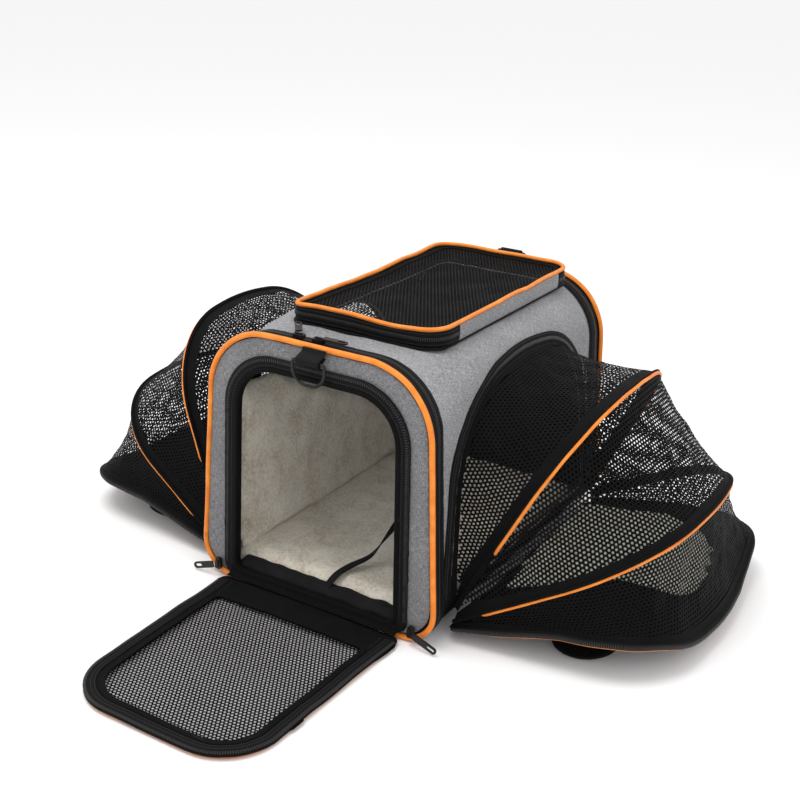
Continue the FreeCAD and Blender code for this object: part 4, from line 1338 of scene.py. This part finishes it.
def fluff(piece, depth):
    """Raise an uneven pile over a padded piece."""
    mesh = piece.data
    count = len(mesh.vertices)
    co, normal = np.zeros(count * 3), np.zeros(count * 3)
    mesh.vertices.foreach_get("co", co)
    mesh.vertices.foreach_get("normal", normal)
    co, normal = co.reshape(-1, 3), normal.reshape(-1, 3)
    co += normal * (depth * (0.7 * pile(co) + 0.4 * pile_fine(co)))[:, None]
    mesh.vertices.foreach_set("co", co.ravel())
    mesh.update()


def plump(piece, grain, pressure, most):
    """Inflate a padded piece as stuffed cloth, moving no point by more than most."""
    remesh = piece.modifiers.new("remesh", "REMESH")
    remesh.mode = "VOXEL"
    remesh.voxel_size = grain
    apply_modifiers(piece)
    rest = vertex_positions(piece)
    cloth = piece.modifiers.new("cloth", "CLOTH")
    settings = cloth.settings
    settings.quality = 4
    settings.use_pressure = True
    settings.uniform_pressure_force = pressure
    settings.effector_weights.gravity = 0
    settings.tension_stiffness = settings.compression_stiffness = 20
    settings.bending_stiffness = 2
    settings.mass = 0.3
    for number in range(1, CLOTH_FRAMES + 1):
        bpy.context.scene.frame_set(number)
    apply_modifiers(piece)
    moved = vertex_positions(piece) - rest
    length = np.linalg.norm(moved, axis=1, keepdims=True)
    rest += moved * np.minimum(1, most / np.maximum(length, 1e-9))
    piece.data.vertices.foreach_set("co", rest.ravel())
    bpy.context.scene.frame_set(1)
    piece.data.polygons.foreach_set("use_smooth", np.ones(len(piece.data.polygons), bool))
    piece.data.update()


def vertex_positions(piece):
    co = np.zeros(len(piece.data.vertices) * 3)
    piece.data.vertices.foreach_get("co", co)
    return co.reshape(-1, 3)


def apply_modifiers(piece):
    depsgraph = bpy.context.evaluated_depsgraph_get()
    mesh = bpy.data.meshes.new_from_object(piece.evaluated_get(depsgraph))
    old = piece.data
    piece.modifiers.clear()
    piece.data = mesh
    bpy.data.meshes.remove(old)


def make_lining():
    low, high = lo("fleece_mat"), hi("fleece_mat")
    half_x, half_y = min(high[0], 143 * MM), high[1]
    loop = box_loop(half_x, half_y, 20 * MM, 6 * MM)
    middle, thick = (low[2] + high[2]) / 2, high[2] - low[2]

    def place(f, h):
        squeeze = np.clip((high[2] - (middle + h)) / thick, 0, 1)
        return np.column_stack([f[:, 0] * (1 - 0.085 * squeeze), f[:, 1], middle + h])

    mat = pillow("plush_mat", loop, 9 * MM, place, thick, 14 * MM, FLEECE,
                 lambda f: 1.5 * MM * pucker.over(f, 1))
    plump(mat, 6 * MM, 3.0, 4 * MM)
    fluff(mat, 1.6 * MM)
    attach(mat, "carrier", "fleece", "fleece_mat")
    low, high = lo("fleece_wing"), hi("fleece_wing")
    foot = low[2] / MM - 8
    corners = [(-200, foot), (190, foot), (196, 78), (60, 150), (-120, 232), (-200, 236)]
    loop = rounded(mm(*corners), mm(6, 6, 16, 40, 60, 20), 6 * MM)
    middle, thick = (low[0] + high[0]) / 2, high[0] - low[0]

    def stand(f, h):
        lean = (f[:, 1] - low[2]) * 0.02
        sweep_in = 17 * MM * np.clip(1 - (f[:, 1] - low[2] + 8 * MM) / (62 * MM), 0, 1) ** 2
        return np.column_stack([middle + h + lean + sweep_in, f[:, 0], f[:, 1]])

    wing = pillow("plush_wing", loop, 9 * MM, stand, thick, 10 * MM, FLEECE,
                  lambda f: 2.0 * MM * pucker.over(f, 1))
    plump(wing, 6 * MM, 3.0, 4 * MM)
    fluff(wing, 1.5 * MM)
    attach(wing, "carrier", "fleece", "fleece_wing")
    make_flap()
    make_tether()
    make_sill_roll()


def make_flap():
    """The mat's right flap, lying on the right tent's floor."""
    corners = [(-112, 8), (158, 8), (158, 216), (-16, 216), (-10, 140), (-52, 72)]
    loop = rounded(mm(*corners), mm(6, 20, 40, 24, 60, 60), 6 * MM)
    roof = np.interp(np.abs(loop[:, 0]), mm(60, 110, 145, 160), mm(216, 205, 170, 120))
    loop[:, 1] = np.minimum(loop[:, 1], roof)
    middle, thick = PANEL_INNER - 4.5 * MM, 8 * MM
    # The flap takes the brighter plush copy: painted light against the shade of the nets above it.
    flap = pillow("plush_flap", loop, 9 * MM, lambda f, h: panel_point(1, f[:, 0], f[:, 1], middle - h),
                  thick, 10 * MM, PAINTED_LIGHT_FLEECE, lambda f: 1.6 * MM * pucker.over(f, 1))
    plump(flap, 5 * MM, 2.0, 2 * MM)
    fluff(flap, 1.3 * MM)
    attach_to_floor(flap, "right", 1, "fleece", "right_fleece_flap")


def make_tether():
    """Leash strap from the sill over the mat and up towards the right wall."""
    line = mm((8, -214, 2.5), (10, -206, 7.5), (14, -196, 5), (22, -176, 10), (34, -152, 14),
              (46, -141, 68), (60, -134, 94), (84, -126, 132), (112, -118, 165))
    line[:2, 2] += DOORWAY["sill"]              # the strap starts on the sill and crosses the mat
    line[2:5, 2] += hi("tether_strap")[2]
    path = resample(line, 4 * MM, False)
    for _ in range(6):
        path[1:-1] = (path[:-2] + 2 * path[1:-1] + path[2:]) / 4
    run = np.linspace(0, 1, len(path))
    along = tangents(path, False)
    twist = 0.25 + 1.1 * smooth((run - 0.2) / 0.45)
    flat_side = unit(np.cross(along, np.array([0, -0.35, 1.0])))
    lifted = unit(np.cross(flat_side, along))
    side = flat_side * np.cos(twist)[:, None] + lifted * np.sin(twist)[:, None]
    up = unit(np.cross(side, along))
    strap = strip_profile(-6 * MM, 6 * MM, 1.4 * MM, -0.7 * MM)
    add_swept("tether_webbing", (path, side, up), strap, WEBBING, "carrier", "webbing", "tether_strap")


def make_sill_roll():
    """Rolled hem of the lining that lies along the sill in front of the mat."""
    across = np.linspace(-DOORWAY["half"] + 2 * MM, DOORWAY["half"] - 2 * MM, 60)
    sag = 1.4 * MM * crease(np.column_stack([across, across * 0, across * 0]) * 0.8)
    path = np.column_stack([across, -SHELL_HALF + 7 * MM + sag, DOORWAY["sill"] + 4 * MM + 0.8 * sag])
    side, up = repeated((0, 1, 0), len(path)), repeated((0, 0, 1), len(path))
    section = mm((-9, -5), (-8, 1), (-4, 4.2), (2, 5.6), (8, 5.0), (13, 2.0), (14, -4))
    add_swept("sill_roll", (path, side, up), section, LINING, "carrier", "black_fabric")


# ---- rings and tabs ----

def make_tabs():
    for name, end in (("front", -1), ("back", 1)):
        bar = joint_place(f"{name}_ring_swing")[1:]
        face = end * END_FACE
        edge = np.array([face, HEIGHT])
        if end < 0:
            line = [edge + mm((-1.5, 3), (-3.5, -1)),
                    bar + mm((2, 5), (-2.6, 2.6), (-3.4, 0), (-2.2, -2.8), (1, -3.2), (4, -0.6)),
                    np.array([face, bar[1]]) + mm((-3.4, 3.2), (-2, 4))]
        else:
            line = [edge + mm((1.8, -18), (2.6, -4), (5, 4)),
                    bar + mm((-3.6, -2), (-3.2, 2), (0, 3.5), (3.3, 1), (2.6, -2.4)),
                    edge + mm((7.5, 2), (5, -5), (4.4, -18))]
        line = resample(np.vstack(line), 1.5 * MM, False)
        path = np.column_stack([np.zeros(len(line)), line])
        along = tangents(path, False)
        side = repeated((1, 0, 0), len(path))
        webbing = strip_profile(-15 * MM, 15 * MM, 1.6 * MM, -0.8 * MM)
        add_swept(f"{name}_tab_webbing", (path, side, unit(np.cross(side, along))), webbing, WEBBING,
                  "carrier", "webbing", f"{name}_ring_tab")
    for name, node in frame_nodes().items():
        finish = None
        if name.endswith(("_slider", "_pull", "_d_ring")):
            finish = METAL
        elif name == "base_board":
            finish = BOARD
        if finish:
            node.data.materials.clear()
            node.data.materials.append(finish)


def frame_nodes():
    return {o["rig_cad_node"]: o for o in bpy.context.scene.objects if "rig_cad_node" in o}


make_shell()
make_zip_bands()
make_ends()
make_opening_tapes()
for tent, tent_side in (("left", -1), ("right", 1)):
    make_gussets(tent, tent_side)
    make_hoops(tent, tent_side)
    make_tent_floor(tent, tent_side)
make_hinge_flap()
make_door()
make_lid()
make_lining()
make_tabs()


# ---- camera, floor and light ----

def view_matrix(azimuth, elevation, roll, position):
    a, e, r = (math.radians(v) for v in (azimuth, elevation, roll))
    back = np.array([math.sin(a) * math.cos(e), -math.cos(a) * math.cos(e), math.sin(e)])
    right = np.array([math.cos(a), math.sin(a), 0])
    up = np.cross(back, right)
    rolled_right = right * math.cos(r) + up * math.sin(r)
    rolled_up = up * math.cos(r) - right * math.sin(r)
    turned = np.column_stack([rolled_right, rolled_up, back])
    matrix = Matrix.Identity(4)
    for row in range(3):
        for column in range(3):
            matrix[row][column] = turned[row, column]
        matrix[row][3] = position[row]
    return matrix


def light(name, position, target, size, power, tint=(1, 1, 1)):
    lamp = bpy.data.lights.new(name, "AREA")
    lamp.shape, lamp.size, lamp.energy, lamp.color = "DISK", size, power, tint
    holder = bpy.data.objects.new(name, lamp)
    bpy.context.scene.collection.objects.link(holder)
    holder.location = position
    holder.rotation_euler = (Vector(target) - Vector(position)).to_track_quat("-Z", "Y").to_euler()


CAMERA_TURN, CAMERA_RISE, CAMERA_ROLL = 30.507, 21.63, 2.254     # degrees
CAMERA_PLACE = (0.686934, -1.209402, 0.731886)
camera = bpy.data.cameras.new("camera")
camera.sensor_width, camera.lens = 36.0, 55.31
camera_object = bpy.data.objects.new("camera", camera)
bpy.context.scene.collection.objects.link(camera_object)
camera_object.matrix_world = view_matrix(CAMERA_TURN, CAMERA_RISE, CAMERA_ROLL, CAMERA_PLACE)
bpy.context.scene.camera = camera_object

floor_finish = Finish("studio_floor", (0.97, 0.97, 0.97), 0.9, shine=0.1)
floor = grid_piece("studio_floor", np.linspace(-60, 60, 3), np.linspace(-60, 60, 3),
                   lambda f: np.column_stack([f, np.full(len(f), -0.2 * MM)]), floor_finish.material)
world = bpy.data.worlds.new("studio")
world.use_nodes = True
world.node_tree.nodes["Background"].inputs[0].default_value = (1, 1, 1, 1)
world.node_tree.nodes["Background"].inputs[1].default_value = 0.95
bpy.context.scene.world = world
light("key", (-0.35, -0.55, 2.4), (0, 0, 0.1), 1.4, 27)
light("fill", (1.8, -0.8, 1.2), (0, 0, 0.1), 1.6, 6)
bpy.context.scene.view_settings.view_transform = "Standard"
